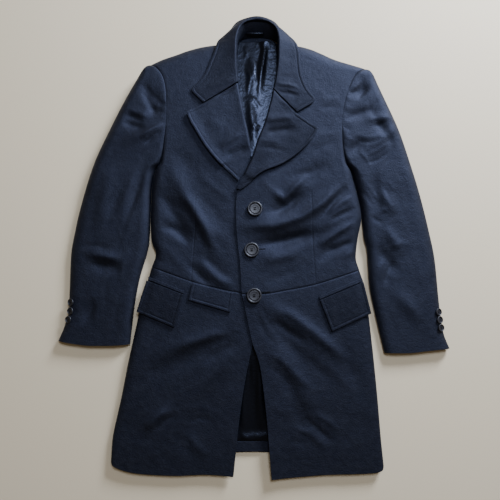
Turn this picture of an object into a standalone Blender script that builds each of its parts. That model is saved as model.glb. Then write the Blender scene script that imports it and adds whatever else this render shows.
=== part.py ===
"""A single-breasted wool coat with a waist seam, laid flat on its back with the front up.

Every piece that is cut and sewn on is one closed cloth wall. Tables are in millimetres, meshes in
metres. +Y runs to the collar, z = 0 is the floor. "right" and "left" are the wearer's sides, so
"right" lies at -X and "left" at +X, and the left front laps over the right one.
"""
import bisect
import math

import bmesh
import bpy

MM = 0.001

# Driving sizes
WOOL = 2.5            # one layer of coat cloth
FACED = 3.0           # collar, lapels and flaps, two layers pressed together
SATIN = 1.0           # lining
SEAM_GAP = 0.3        # between two pieces at a seam
EDGE_PULL = 0.2       # how far each panel's edges are drawn in, to leave that gap
LAYER_GAP = 0.7       # between a panel and what lies on it
LAP = 3.3             # how far the left front is lifted where it laps over the right one
LAP_FADES = (20, 50)  # from this x to this much further out, the lapping front comes down again
LAPEL_LIP = 6.2       # how far a lapel's fold turns down round the front's edge
# a lapel's fold flattens out from this y to this much above it
LIP_FADES = {"right": (176, 10), "left": (118, 14)}
LIP_SPREAD = 0.6      # how far apart the fold's points lie where it is flat
LAPEL_CREST = 1.6     # how far a lapel springs up beside its fold
CREST_WIDTH = 14.0
COLLAR_LIP = 5.0      # how far the collar's fold turns down inside the neck
COLLAR_TURN = 4.0     # width of that turn
COLLAR_EDGE = 1.0     # how far the fall's cloth stands straight below its turn
STAND_BOW = 0.6       # how far the stand bows outward between its foot and its top
STAND_INSET = 0.2     # how far the stand keeps outside its traced line
NECK_RISES = (385, 20)  # from this y to this much above it, the fall leaves the fronts
FLAP_SPRING = 1.5     # how far a flap may stand off a trough under it
BUTTON_RADIUS = 15.0
BUTTON_HEIGHT = 4.5
CUFF_BUTTON_RADIUS = 7.3
CUFF_BUTTON_HEIGHT = 3.2

# Height of the upper cloth above the floor, by distance from the origin: (y, body, sleeve)
LOFT = (
    (-475, 12.5, 14), (-400, 14, 14), (-300, 16, 14), (-215, 18, 15), (-110, 20, 17), (-30, 20, 18),
    (60, 22, 20), (140, 25, 24), (220, 28, 28), (300, 30, 31), (350, 30, 31), (430, 28, 26),
)

# Edges where the cloth turns under: (x, y, height of the upper piece's edge, width of the turn,
# height of the lower piece's edge). A lower piece with height 0 lies flat on the floor there.
SIDE_SKIRT = {
    "right": (
        (-276.5, -436, 8, 16, 7.6), (-275, -398, 8, 20, 7.6), (-259, -313, 8, 22, 7.6),
        (-248, -250, 8, 22, 7.6), (-235, -185, 8, 22, 7.6), (-222, -120, 8, 22, 7.6),
        (-211, -82, 8, 20, 7.6), (-205, -60, 8, 20, 7.6),
    ),
    "left": (
        (251, -444, 8, 16, 7.6), (247, -395, 8, 20, 7.6), (242, -313, 8, 22, 7.6),
        (236, -235, 8, 22, 7.6), (229, -160, 8, 22, 7.6), (223, -105, 8, 22, 7.6),
        (212, -66, 8, 20, 7.6),
    ),
}
SIDE_BODICE = {
    "right": (
        (-205, -60, 8, 20, 7.6), (-197, -34, 8, 20, 7.6), (-206.3, -6, 8, 22, 7.6),
        (-209, 40, 8, 22, 7.6), (-208.4, 90, 8, 22, 7.6), (-204.8, 122, 8.5, 20, 7.6),
        (-199.8, 141, 10, 16, 6), (-191, 152, 13, 11, 3),
    ),
    "left": (
        (212, -66, 8, 20, 7.6), (205.5, -40, 8, 20, 7.6), (210.5, 0, 8, 22, 7.6),
        (218.5, 42, 8, 22, 7.6), (212.2, 84, 8, 22, 7.6), (204.2, 116, 8.5, 20, 7.6),
        (199, 136, 10, 16, 6), (190, 150, 13, 11, 3),
    ),
}
ARMHOLE = {
    "right": (
        (-191, 152, 13, 11, 3), (-186.5, 168, 18, 9, 0), (-182.5, 198, 22, 9, 0),
        (-179, 230, 25, 9, 0), (-178, 262, 26, 9, 0), (-179, 291, 26, 9, 0),
        (-183, 319, 26, 9, 0), (-190, 337, 25, 9, 0), (-200, 350, 24, 9, 1.5),
        (-215.5, 362, 23, 9, 5.6),
    ),
    "left": (
        (190, 150, 13, 11, 3), (184.5, 168, 18, 9, 0), (180.6, 204, 22, 9, 0),
        (180, 232, 25, 9, 0), (182.5, 258, 26, 9, 0), (187.5, 282, 26, 9, 0),
        (194, 303, 26, 9, 0), (205, 328, 25, 9, 0), (217, 342, 24, 9, 1.5),
        (234, 353, 23, 9, 5.6),
    ),
}
SHOULDER = {
    "right": (
        (-215.5, 362, 9.5, 24, 5.6), (-189, 374, 12, 26, 11.6), (-164, 383, 12, 26, 11.6),
        (-135, 394, 12, 26, 11.6), (-105, 402, 12, 26, 11.6), (-75, 406, 12, 26, 3),
        (-42, 407, 12, 26, 0),
    ),
    "left": (
        (234, 353, 9.5, 24, 5.6), (201, 363, 12, 26, 11.6), (168, 374, 12, 26, 11.6),
        (143, 386, 12, 26, 11.6), (118, 397, 12, 26, 11.6), (90, 404, 12, 26, 3),
        (58, 406, 12, 26, 0),
    ),
}
NECK_EDGE = {
    "right": ((-42, 407, 12, 26, 0), (-30, 420, 4, 10, 0), (-12, 428, 0, 8, 0), (7, 430, 0, 8, 0)),
    "left": ((58, 406, 12, 26, 0), (44, 420, 4, 10, 0), (27, 428, 0, 8, 0), (7, 430, 0, 8, 0)),
}
SLEEVE_INNER = {
    "right": (
        (-193, 150, 12, 11, 3), (-202, 141, 9, 14, 5), (-206.3, 122, 6, 18, 5.6),
        (-209.8, 90, 6, 18, 5.6), (-210.4, 40, 6, 18, 5.6), (-211.5, -6, 6, 18, 5.6),
        (-216, -32, 6, 18, 5.6), (-229, -80, 6, 18, 5.6), (-238, -132, 6, 18, 5.6), (-246, -213, 6, 16, 5.6),
    ),
    "left": (
        (192, 148, 12, 11, 3), (201, 136, 9, 14, 5), (205.8, 116, 6, 18, 5.6),
        (213.8, 84, 6, 18, 5.6), (220.2, 42, 6, 18, 5.6), (223.5, 0, 6, 18, 5.6),
        (229, -25, 6, 18, 5.6), (232, -90, 6, 18, 5.6), (243, -155, 6, 18, 5.6), (259, -230, 6, 16, 5.6),
    ),
}
SLEEVE_OUTER = {
    "right": (
        (-221, 359.5, 9.5, 16, 5.6), (-233, 348, 6.5, 22, 5.6), (-266, 290, 6, 24, 5.6),
        (-299, 221, 6, 24, 5.6), (-328, 153, 6, 24, 5.6), (-347, 86, 6, 24, 5.6),
        (-361, 20, 6, 24, 5.6), (-369, -45, 6, 24, 5.6), (-369, -140, 6, 22, 5.6),
        (-376, -175, 6, 20, 5.6), (-388, -206, 6, 16, 5.6),
    ),
    "left": (
        (240, 350.5, 9.5, 16, 5.6), (250, 338, 6.5, 22, 5.6), (272, 290, 6, 24, 5.6),
        (301, 221, 6, 24, 5.6), (322, 153, 6, 24, 5.6), (340, 86, 6, 24, 5.6),
        (354, 20, 6, 24, 5.6), (365, -45, 6, 24, 5.6), (371, -140, 6, 22, 5.6),
        (377, -190, 6, 20, 5.6), (388, -221, 6, 16, 5.6),
    ),
}

# Plain edges: (x, y)
WAIST = {
    "right": ((-205, -60), (-161, -76), (-124, -89), (-83, -100), (-42, -109), (14, -117)),
    "left": ((212, -66), (158, -84), (118, -96), (62, -107), (16, -114), (-24, -114)),
}
HEM = {
    "right": (
        (-276.5, -436), (-273, -443), (-262, -449), (-225, -458), (-151, -462), (-95, -460), (-39.5, -464),
    ),
    "left": ((251, -444), (248, -452), (232, -457), (190, -459), (146, -460), (90, -464), (34, -469)),
}
BACK_HEM = {
    "right": ((-276.5, -436), (-200, -431), (-100, -423), (0, -420)),
    "left": ((251, -444), (180, -431), (90, -423), (0, -420)),
}
CUFF = {
    "right": ((-246, -213), (-285, -215.5), (-320, -215.5), (-355, -212), (-388, -206)),
    "left": ((259, -230), (299, -230), (349, -225), (388, -221)),
}
# The front edge of each bodice, from the waist up its lapel's fold and round the neck
BODICE_EDGE = {
    "right": (
        (14, -117), (12, -60), (10, 0), (8, 60), (3, 120), (-9, 168), (-16.5, 211), (-23, 240),
        (-32, 285), (-38, 317), (-39.5, 345), (-40.5, 375), (-42, 407),
    ),
    "left": (
        (-24, -114), (-28, -52), (-32, -16), (-35.5, 25), (-36, 60), (-33, 92), (-18.5, 114),
        (-8.5, 136), (2.5, 160), (14.5, 197), (29, 234), (37.5, 265), (45.5, 300), (52, 337),
        (54.5, 370), (58, 406),
    ),
}
SKIRT_EDGE = {
    "right": ((14, -117), (-3, -214), (-15, -272), (-27, -348), (-39.5, -464)),
    "left": ((-24, -114), (-17, -145), (-4, -206), (10.5, -249), (23, -338), (34, -469)),
}
CENTRE_BACK = ((0, -420), (3, 0), (7, 430))

# Lapels: (x, y of the fold line, x, y of the notch line, x, y of the outer edge)
LAPEL = {
    "right": (
        (-32, 316, -103, 272, -136.5, 254), (-29, 300, -95, 258, -130, 237), (-26, 285, -86, 244, -119, 218),
        (-17, 240, -70, 206, -100, 187), (-10.5, 211, -56, 180, -80, 161), (-5, 174, -40, 152, -60, 140),
        (-12, 153, -33, 138, -46, 127), (-20, 138, -29, 127, -37, 118),
        (-24, 127, -28, 119, -31, 112.5),
    ),
    "left": (
        (39, 301, 87.5, 251.5, 131, 220.5), (35, 281, 81, 242, 125, 210), (31, 266, 72, 228, 114, 194),
        (23, 236, 54, 203, 84, 165), (8.5, 199, 31, 176, 52, 145), (-4, 161, 11, 147, 25, 134),
        (-15, 138, -3, 128, 8, 124), (-25, 116, -15, 111.5, -7, 109),
        (-33.5, 97, -30, 95.5, -26, 94.5),
    ),
}
# Collar: (x, y, height of its fold, x, y of the edge, height of the edge, dome, foot x, foot y, foot z).
# dome is 0 where the fall lies on the fronts and 1 where it stands round the back of the neck.
COLLAR = (
    (-31.5, 318, 37, -103, 274.5, 33.5, 0, -31.5, 318, 14),
    (-32, 326, 37.5, -127, 301, 33.5, 0, -32, 326, 13),
    (-33, 337, 38, -116, 315, 33.5, 0, -33, 337, 12),
    (-34, 350, 39, -102, 332, 33.5, 0, -34, 350, 11),
    (-34.5, 370, 40, -90, 360, 33.5, 0, -35, 370, 10),
    (-34.5, 390, 41, -82, 381, 33.5, 0.1, -35.5, 390, 9),
    (-34, 405, 41, -78, 396, 31, 0.3, -35, 404, 8),
    (-32, 418, 40, -75, 411, 21, 0.6, -33, 415, 7),
    (-27, 429, 38, -65, 423, 10, 0.9, -27, 420.5, 3.6),
    (-19, 437, 35, -53, 436, 3.6, 1, -19, 425, 3.6),
    (-8, 441, 33, -38, 456, 3.6, 1, -8, 427.2, 3.6),
    (7, 442, 32, 7, 468.8, 3.6, 1, 7, 428, 3.6),
    (22, 441, 33, 46, 456, 3.6, 1, 22, 427.2, 3.6),
    (34, 437, 35, 62, 436, 3.6, 1, 34, 425, 3.6),
    (43, 429, 38, 76, 423, 10, 0.9, 43, 420.5, 3.6),
    (48, 418, 40, 86, 411, 21, 0.6, 49, 415, 7),
    (49.5, 405, 41, 90.5, 397, 31, 0.3, 50.5, 404, 8),
    (49.5, 390, 41, 93, 384, 33.5, 0.1, 50.5, 390, 9),
    (49, 370, 40, 95, 362, 33.5, 0, 49.5, 370, 10),
    (47.5, 350, 39, 97, 340, 33.5, 0, 47.5, 350, 11),
    (45.5, 335, 38, 103.5, 317, 33.5, 0, 45.5, 335, 12),
    (42.5, 318, 37.5, 112.5, 299, 33.5, 0, 42.5, 318, 13),
    (40.5, 308, 37, 125, 281, 33.5, 0, 40.5, 308, 14),
    (39.5, 303.5, 37, 88.5, 254.5, 33.5, 0, 39.5, 303.5, 14),
)

# Flaps and welts on the skirts: name, side, corners (x, y) from the top inner one round to the
# top outer one, thickness
FLAPS = (
    ("hip_flap_right", "right", (-138.5, -115, -156, -179.5, -231.5, -148.5, -213, -87), FACED),
    ("hip_flap_left", "left", (130, -126, 153.5, -187.5, 231.5, -152, 217.5, -90), FACED),
    ("ticket_flap_right", "right", (-40.5, -112.5, -46, -150, -129.5, -126, -122, -92.5), FACED),
    ("pocket_welt_right", "right", (-138, -107.5, -138.2, -113.6, -209.5, -85.6, -209, -79.5), WOOL),
    ("pocket_welt_left", "left", (128.5, -118.5, 129.5, -124.6, 215.5, -88.6, 214, -82.5), WOOL),
)

# Main folds of the upper cloth: (x, y of one end, x, y of the other, height, half width).
# A negative height is a trough.
BODY_FOLDS = (
    (-170, 137, -112, 44, 2.6, 15), (-112, 44, -60, -12, 2.2, 15), (-190, 90, -131, 0, -2.6, 13),
    (-180, 30, -121, -3, -2.4, 12), (-117, -36, -53, -90, -2.2, 14), (-160, 178, -108, 116, -1.6, 18),
    (14, 30, 101, 77, 3, 14), (101, 77, 178, 126, 2.6, 14), (15, 72, 91, 108, -2.8, 14),
    (80, 122, 150, 143, -2.4, 13), (-10, 2, 74, 24, -2.4, 13), (74, 24, 124, 10, -2, 11),
    (124, 8, 196, 72, 2.4, 13), (132, -42, 162, -16, -2, 10), (16, -50, 92, -26, 1.8, 15),
    (-43, -170, -189, -236, 3, 16), (-46, -197, -202, -280, -2.6, 16), (-168, -333, -215, -375, 2.4, 16),
    (-36, -222, -123, -318, 2.2, 15), (-75, -280, -122, -400, -2, 16),
    (18, -129, 181, -236, 3, 17), (8, -154, 147, -289, -2.6, 16), (31, -184, 127, -355, 2.2, 16),
    (60, -261, 107, -400, -2, 16), (168, -203, 215, -318, -2.2, 15),
)
SLEEVE_FOLDS = (
    (-230, 316, -186, 267, -2.6, 11), (-215, 262, -188, 258, -2, 9), (-260, 248, -229, 246, -2.4, 9),
    (-188, 225, -258, 195, 2.8, 11), (-221, 149, -254, 44, -3, 11), (-240, 120, -274, 32, 2.4, 11),
    (-330, -30, -262, -46, 3, 11), (-326, -58, -262, -66, -3, 11), (-313, -125, -336, -170, -2.4, 11),
    (-291, 137, -312, 14, 2, 14),
    (192, 293, 226, 303, -2.4, 9), (190, 244, 235, 259, -2.4, 9), (192, 170, 227, 199, -2.4, 10),
    (222, 327, 221, 293, -2.4, 9), (230, 242, 280, 242, 2.8, 10), (235, 267, 284, 183, -2.4, 10),
    (241, 183, 287, 225, 2.4, 10), (257, 95, 282, 50, 2.8, 11), (248, -20, 284, -70, -3, 12),
    (263, 20, 295, -30, 2.6, 11), (279, -105, 327, -164, 2, 14), (244, 137, 249, 44, -2, 11),
)
LINING_FOLDS = (
    (18, 400, 12, 300, 3.5, 7), (-6, 390, 0, 300, 2.5, 7), (-8, 300, 2, 190, 2.6, 8),
    (-12, -210, -16, -380, 2.4, 7), (10, -230, 8, -385, 2, 6), (-24, -300, -22, -380, 1.6, 6),
    (-45, -392, 45, -388, 2.2, 7),
)

# The strips inside, corners (x, y) as for the flaps
LINING_NECK = (-31, 419, -62, 170, 70, 170, 46, 419)
LINING_SKIRT = (-70, -200, -80, -399, 75, -399, 60, -200)
TURN_UP = (-80, -399.8, -80, -419, 75, -419, 75, -399.8)

BUTTONS = ((2.4, 56.2), (-4.2, -26.3), (0.7, -116.7))
# Cuff buttons sit on the turn of the outer edge: heights along the sleeve
CUFF_BUTTONS = {"right": (-130, -147, -164), "left": (-149, -164.5, -180)}
CUFF_BUTTON_INSET = 6.5
CUFF_BUTTON_GAP = 0.5
# A turned button: (share of the radius, share of the height), from the rim's foot over to the middle
BUTTON_PROFILE = ((0, 0), (0.72, 0), (0.97, 0.35), (1, 0.7), (0.9, 1), (0.74, 0.92), (0.66, 0.6), (0, 0.55))

# Colour, roughness, sheen
FINISHES = {
    "wool": ((0.010, 0.012, 0.020), 0.95),
    "satin": ((0.006, 0.006, 0.009), 0.3),
    "horn": ((0.022, 0.018, 0.016), 0.4),
}
TURN = tuple((1 - math.cos(math.radians(a)), math.sin(math.radians(a))) for a in (30, 60, 90))
UPRIGHT = 0.17        # share of a turn's height that its edge stands straight up
SLACK = 0.4           # how far that edge stands in where the turn is less than LOW_TURN high
LOW_TURN = 3.0
CORNER_SLACK = 0.25    # and how far at the least in the corners of a top that turns down
MOST_TURN = 0.42      # most of a row's width that a turn may take
TRACE_STEPS = 6       # points traced between two rows of a table
LOWER_TURN = 9.0      # width of the turn at a lower piece's edge
SHOULDER_TURN = 24.0  # width of the turn along the shoulders
SHOULDER_TIP = (9.5, 5.6)  # height of an upper and a lower sleeve at the tip of the shoulder
ARMHOLE_ROWS = 8


def hermite(table, t):
    """A smooth curve through a table's rows, one unit of t for each row, with no overshoot."""
    last = len(table) - 1
    i = min(int(t), last - 1)
    f = t - i
    out = []
    for column in range(len(table[0])):
        def step(k):
            return table[k + 1][column] - table[k][column]

        def slope(k):
            if k == 0:
                return step(0)
            if k == last:
                return step(last - 1)
            before = step(k - 1)
            after = step(k)
            return 0.0 if before * after <= 0 else 2 * before * after / (before + after)

        a = table[i][column]
        b = table[i + 1][column]
        out.append(
            a * (1 + 2 * f) * (1 - f) ** 2 + b * f * f * (3 - 2 * f)
            + slope(i) * f * (1 - f) ** 2 + slope(i + 1) * f * f * (f - 1)
        )
    return out


def trace(*tables):
    """The dense points of one or more tables' curves, end to end."""
    points = []
    for table in tables:
        count = (len(table) - 1) * TRACE_STEPS
        points += [hermite(table, k / TRACE_STEPS) for k in range(count + 1)]
    return points


def ruler(points):
    """A function that gives the point at a share of the length of a line of points."""
    lengths = [0.0]
    for a, b in zip(points, points[1:]):
        lengths.append(lengths[-1] + math.dist(a[:2], b[:2]))
    total = lengths[-1]

    def at(share):
        reach = min(max(share, 0.0), 1.0) * total
        i = min(max(bisect.bisect_right(lengths, reach) - 1, 0), len(points) - 2)
        while i < len(points) - 2 and lengths[i + 1] - lengths[i] < 1e-9:
            i += 1
        f = (reach - lengths[i]) / max(lengths[i + 1] - lengths[i], 1e-9)
        return [p + (q - p) * f for p, q in zip(points[i], points[i + 1])]

    at.length = total
    return at


def stops(edges, counts, last_turn=0.0):
    """Shares of the length of some edges end to end, with a count of rows for each edge.

    The last edge's rows stop short of its end by last_turn, which then takes the rows of a turn.
    """
    lengths = [ruler(edge).length for edge in edges]
    total = sum(lengths)
    shares = []
    start = 0.0
    for number, (length, count) in enumerate(zip(lengths, counts)):
        reach = length - (last_turn if number == len(edges) - 1 else 0.0)
        shares += [(start + reach * k / count) / total for k in range(count)]
        start += length
    if last_turn:
        shares += [1 - last_turn * c / total for c, g in reversed(TURN)]
    return shares + [1.0]


def by_height(table, column, y):
    """A column of a table whose rows run along y, at y."""
    rows = sorted(table, key=lambda row: row[0])
    if y <= rows[0][0]:
        return rows[0][column]
    for a, b in zip(rows, rows[1:]):
        if y <= b[0]:
            f = (y - a[0]) / (b[0] - a[0])
            f = f * f * (3 - 2 * f)
            return a[column] + (b[column] - a[column]) * f
    return rows[-1][column]


def folds(table, x, y):
    """The height that a table of folds adds at a place."""
    total = 0.0
    for ax, ay, bx, by, height, half in table:
        length = math.hypot(bx - ax, by - ay)
        ux = (bx - ax) / length
        uy = (by - ay) / length
        along = ((x - ax) * ux + (y - ay) * uy) / length
        across = (y - ay) * ux - (x - ax) * uy
        if -0.25 < along < 1.25 and abs(across) < 2.5 * half:
            fade = 0.5 + 0.5 * math.cos(math.pi * min(1.0, abs(along - 0.5) / 0.75))
            total += height * fade * math.exp(-(across / half) ** 2)
    return total


def smooth(f):
    f = min(max(f, 0.0), 1.0)
    return f * f * (3 - 2 * f)


def body_top(x, y):
    """The top of the upper cloth of the body, well away from its side folds."""
    return by_height(LOFT, 1, y) + folds(BODY_FOLDS, x, y)


def lapped_top(x, y):
    """The top of the left front, which is lifted where it laps over the right one."""
    return body_top(x, y) + LAP * (1 - smooth((x - LAP_FADES[0]) / LAP_FADES[1]))


def sleeve_top(x, y):
    return by_height(LOFT, 2, y) + folds(SLEEVE_FOLDS, x, y)


def lining_top(x, y):
    return WOOL + SEAM_GAP + SATIN + folds(LINING_FOLDS, x, y)


def material(name):
    found = bpy.data.materials.get(name)
    if found:
        return found
    colour, roughness = FINISHES[name]
    made = bpy.data.materials.new(name)
    made.use_nodes = True
    shader = made.node_tree.nodes["Principled BSDF"]
    shader.inputs["Base Color"].default_value = (*colour, 1.0)
    shader.inputs["Roughness"].default_value = roughness
    shader.inputs["Metallic"].default_value = 0.0
    return made


def finish(bm, name, finish_name):
    mesh = bpy.data.meshes.new(name)
    bm.to_mesh(mesh)
    bm.free()
    mesh.materials.append(material(finish_name))
    mesh.shade_smooth()
    mesh.set_sharp_from_angle(angle=math.radians(40))
    piece = bpy.data.objects.new(name, mesh)
    PIECES.objects.link(piece)
    return piece


def shell(name, points, wall, finish_name="wool", face_down=False):
    """A cloth wall whose outer side goes through a grid of points, rows of (x, y, z) in millimetres."""
    rows = len(points)
    columns = len(points[0])
    bm = bmesh.new()
    bmesh.ops.create_grid(bm, x_segments=columns - 1, y_segments=rows - 1, size=0.5)
    area = 0.0
    for vert in bm.verts:
        i = round((vert.co.x + 0.5) * (columns - 1))
        j = round((vert.co.y + 0.5) * (rows - 1))
        vert.co = [value * MM for value in points[j][i]]
    for face in bm.faces:
        face.normal_update()
        area += face.normal.z * face.calc_area()
    if (area < 0) != face_down:
        bmesh.ops.reverse_faces(bm, faces=bm.faces)
    piece = finish(bm, name, finish_name)
    solid = piece.modifiers.new("cloth", "SOLIDIFY")
    solid.thickness = wall * MM
    solid.offset = -1
    solid.use_even_offset = True
    solid.use_quality_normals = True
    return piece


def across(width, turn_in, turn_out, flats):
    """Places across a piece: (distance from the inner edge, share of the inner turn, of the outer turn)."""
    turn_in = min(turn_in, MOST_TURN * width)
    turn_out = min(turn_out, MOST_TURN * width)
    out = [(0.0, 0.0, 1.0), (0.0, UPRIGHT, 1.0)] if turn_in else [(0.0, 1.0, 1.0)]
    out += [(turn_in * c, g, 1.0) for c, g in TURN] if turn_in else []
    start = turn_in
    end = width - turn_out
    steps = flats + 1
    out += [(start + (end - start) * k / steps, 1.0, 1.0) for k in range(1, steps)]
    if turn_out:
        out += [(width - turn_out * c, 1.0, g) for c, g in reversed(TURN)]
        out += [(width, 1.0, UPRIGHT), (width, 1.0, 0.0)]
    else:
        out.append((width, 1.0, 1.0))
    return out


def slack(height):
    return SLACK * max(0.0, 1 - abs(height) / LOW_TURN)


def panel(name, inner, outer, top_of, shares, flats, bottom=None, top=None, turn_in=False, turn_top=False,
          lower=False):
    """A cut piece between an inner and an outer edge, both traced from the bottom up.

    Each edge is a line of points (x, y) or (x, y, upper height, turn, lower height). The rows run
    straight from edge to edge at the given shares of both, bent to the bottom and top edges.
    """
    inner_at = ruler(inner)
    outer_at = ruler(outer)
    bottom_at = ruler(bottom) if bottom else None
    top_at = ruler(top) if top else None
    height_column = 4 if lower else 2
    lifts = [1.0] * len(shares)
    if turn_top:
        lifts[-1 - len(TURN):] = [g for c, g in reversed(TURN)] + [UPRIGHT, 0.0]
        shares = shares + [1.0]
    tip = SHOULDER_TIP[1 if lower else 0]

    grid = []
    for v, lift in zip(shares, lifts):
        a = inner_at(v)
        b = outer_at(v)
        width = math.dist(a[:2], b[:2])
        wide_in = (LOWER_TURN if lower else a[3]) if turn_in else 0.0
        wide_out = LOWER_TURN if lower else b[3]
        line = []
        for s, g_in, g_out in across(width, wide_in, wide_out, flats):
            def place(distance):
                u = distance / width
                x = a[0] + (b[0] - a[0]) * u
                y = a[1] + (b[1] - a[1]) * u
                if bottom_at:
                    p = bottom_at(1 - u)
                    q = [m + (n - m) * u for m, n in zip(inner_at(0), outer_at(0))]
                    x += (p[0] - q[0]) * (1 - v)
                    y += (p[1] - q[1]) * (1 - v)
                if top_at:
                    p = top_at(1 - u)
                    q = [m + (n - m) * u for m, n in zip(inner_at(1), outer_at(1))]
                    x += (p[0] - q[0]) * v
                    y += (p[1] - q[1]) * v
                return x, y
            x, y = place(s)
            full = 0.0 if lower else top_of(x, y)
            z = full
            if g_in < 1:
                edge = a[height_column]
                if g_in == UPRIGHT:
                    x, y = place(s + max(slack(full - edge), CORNER_SLACK * (1 - lift)))
                z = edge + (full - edge) * g_in
            if g_out < 1:
                edge = b[height_column]
                if g_out == UPRIGHT:
                    x, y = place(s - max(slack(full - edge), CORNER_SLACK * (1 - lift)))
                z = edge + (full - edge) * g_out
            if lift < 1:
                edge = top_at(1 - s / width)[height_column] if top_at else tip
                if lift == UPRIGHT:
                    y -= slack(z - edge)
                z = edge + (z - edge) * lift
            line.append([x, y, z])
        grid.append(line)
    pull(grid, EDGE_PULL)
    return shell(name, grid, WOOL, face_down=lower)


def pull(grid, distance):
    """Draw the edges of a grid in by a small distance, to open its seams."""
    def shift(point, towards):
        gone = math.hypot(towards[0] - point[0], towards[1] - point[1])
        if gone > 1e-6:
            point[0] += (towards[0] - point[0]) / gone * distance
            point[1] += (towards[1] - point[1]) / gone * distance

    def inward(line, first, step):
        point = line[first]
        k = first + step
        while math.dist(line[k][:2], point[:2]) < 1.0:
            k += step
        target = list(line[k])
        near = first
        while math.dist(line[near][:2], point[:2]) < 1.0:
            near += step
        for n in range(first, near, step):
            shift(line[n], target)

    for line in grid:
        inward(line, 0, 1)
        inward(line, len(line) - 1, -1)
    columns = [[line[i] for line in grid] for i in range(len(grid[0]))]
    for column in columns:
        inward(column, len(column) - 1, -1)
        inward(column, 0, 1)


def edge_of(side):
    """The whole outer edge of a body half, from the hem up to the shoulder."""
    return trace(SIDE_SKIRT[side], SIDE_BODICE[side], ARMHOLE[side])


def cloth_top(side, x, y):
    """The top of the body's upper cloth anywhere, with its side folds."""
    full = lapped_top(x, y) if side == "left" else body_top(x, y)
    outline = OUTLINES[side]
    i = min(range(len(outline)), key=lambda k: math.dist(outline[k][:2], (x, y)))
    edge = outline[i]
    inside = abs(edge[0]) - abs(x)
    if inside <= 0:
        return edge[2]
    g = math.sqrt(max(0.0, 1 - max(0.0, 1 - inside / edge[3]) ** 2))
    return edge[2] + (full - edge[2]) * g


def build_body(side):
    top_of = lapped_top if side == "left" else body_top
    skirt = trace(SIDE_SKIRT[side])
    bodice = trace(SIDE_BODICE[side])
    armhole = trace(ARMHOLE[side])
    waist = trace(WAIST[side])
    shoulder = trace(SHOULDER[side])
    panel(f"skirt_{side}", trace(SKIRT_EDGE[side])[::-1], skirt, top_of, stops([skirt], [12]), 6,
          bottom=trace(HEM[side]), top=waist)
    panel(f"front_{side}", trace(BODICE_EDGE[side]), bodice + armhole, top_of,
          stops([bodice, armhole], [7, ARMHOLE_ROWS], SHOULDER_TURN), 6,
          bottom=waist, top=shoulder, turn_top=True)
    panel(f"back_{side}", trace(CENTRE_BACK), skirt + bodice + armhole, None,
          stops([skirt, bodice, armhole], [7, 5, ARMHOLE_ROWS], SHOULDER_TURN), 5,
          bottom=trace(BACK_HEM[side]), top=shoulder + trace(NECK_EDGE[side]), turn_top=True, lower=True)


def build_sleeve(side):
    """The top sleeve over the under sleeve, both set into the armhole's own points."""
    fold = trace(SLEEVE_INNER[side])[::-1]
    armhole = trace(ARMHOLE[side])
    outer = trace(SLEEVE_OUTER[side])[::-1]
    cuff = trace(CUFF[side])[::-1]
    for name, top_of, rows, flats in (("top", sleeve_top, 11, 4), ("under", None, 9, 2)):
        panel(f"{name}_sleeve_{side}", fold + armhole, outer, top_of,
              stops([fold, armhole], [rows, ARMHOLE_ROWS], SHOULDER_TURN), flats, bottom=cuff, turn_in=True,
              turn_top=True, lower=top_of is None)


def build_lapel(side):
    """The turned-back facing: round its fold, then flat on the front out to the edge."""
    lift = LAYER_GAP + FACED
    grid = []
    table = LAPEL[side]
    steps = 2 * (len(table) - 1)
    for k in range(steps + 1):
        rx, ry, nx, ny, ex, ey = hermite(table, k / 2)
        width = math.dist((rx, ry), (ex, ey))
        turn = min(5.0, 0.4 * width)
        notch = math.dist((rx, ry), (nx, ny))
        turned = smooth((ry - LIP_FADES[side][0]) / LIP_FADES[side][1])
        drop = LAPEL_LIP * turned
        spread = LIP_SPREAD * (1 - turned)
        places = [(0.0, 0.0), (spread, UPRIGHT)] + [(max(turn * c, 2 * spread), g) for c, g in TURN]
        places += [(turn + (notch - turn) * f, 1.0) for f in (1 / 3, 2 / 3, 1)]
        places += [(notch + (width - notch) * f, 1.0) for f in (1 / 3, 2 / 3, 1)]
        line = []
        for s, g in places:
            if s <= notch:
                x = rx + (nx - rx) * s / notch
                y = ry + (ny - ry) * s / notch
            else:
                x = nx + (ex - nx) * (s - notch) / (width - notch)
                y = ny + (ey - ny) * (s - notch) / (width - notch)
            base = lapped_top(x, y) if side == "left" else body_top(x, y)
            crest = LAPEL_CREST * math.exp(-(s / CREST_WIDTH) ** 2) * turned
            z = base + lift + crest - (1 - g) * drop
            line.append([x, y, z])
        grid.append(line)
    return shell(f"lapel_{side}", grid, FACED)


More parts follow.
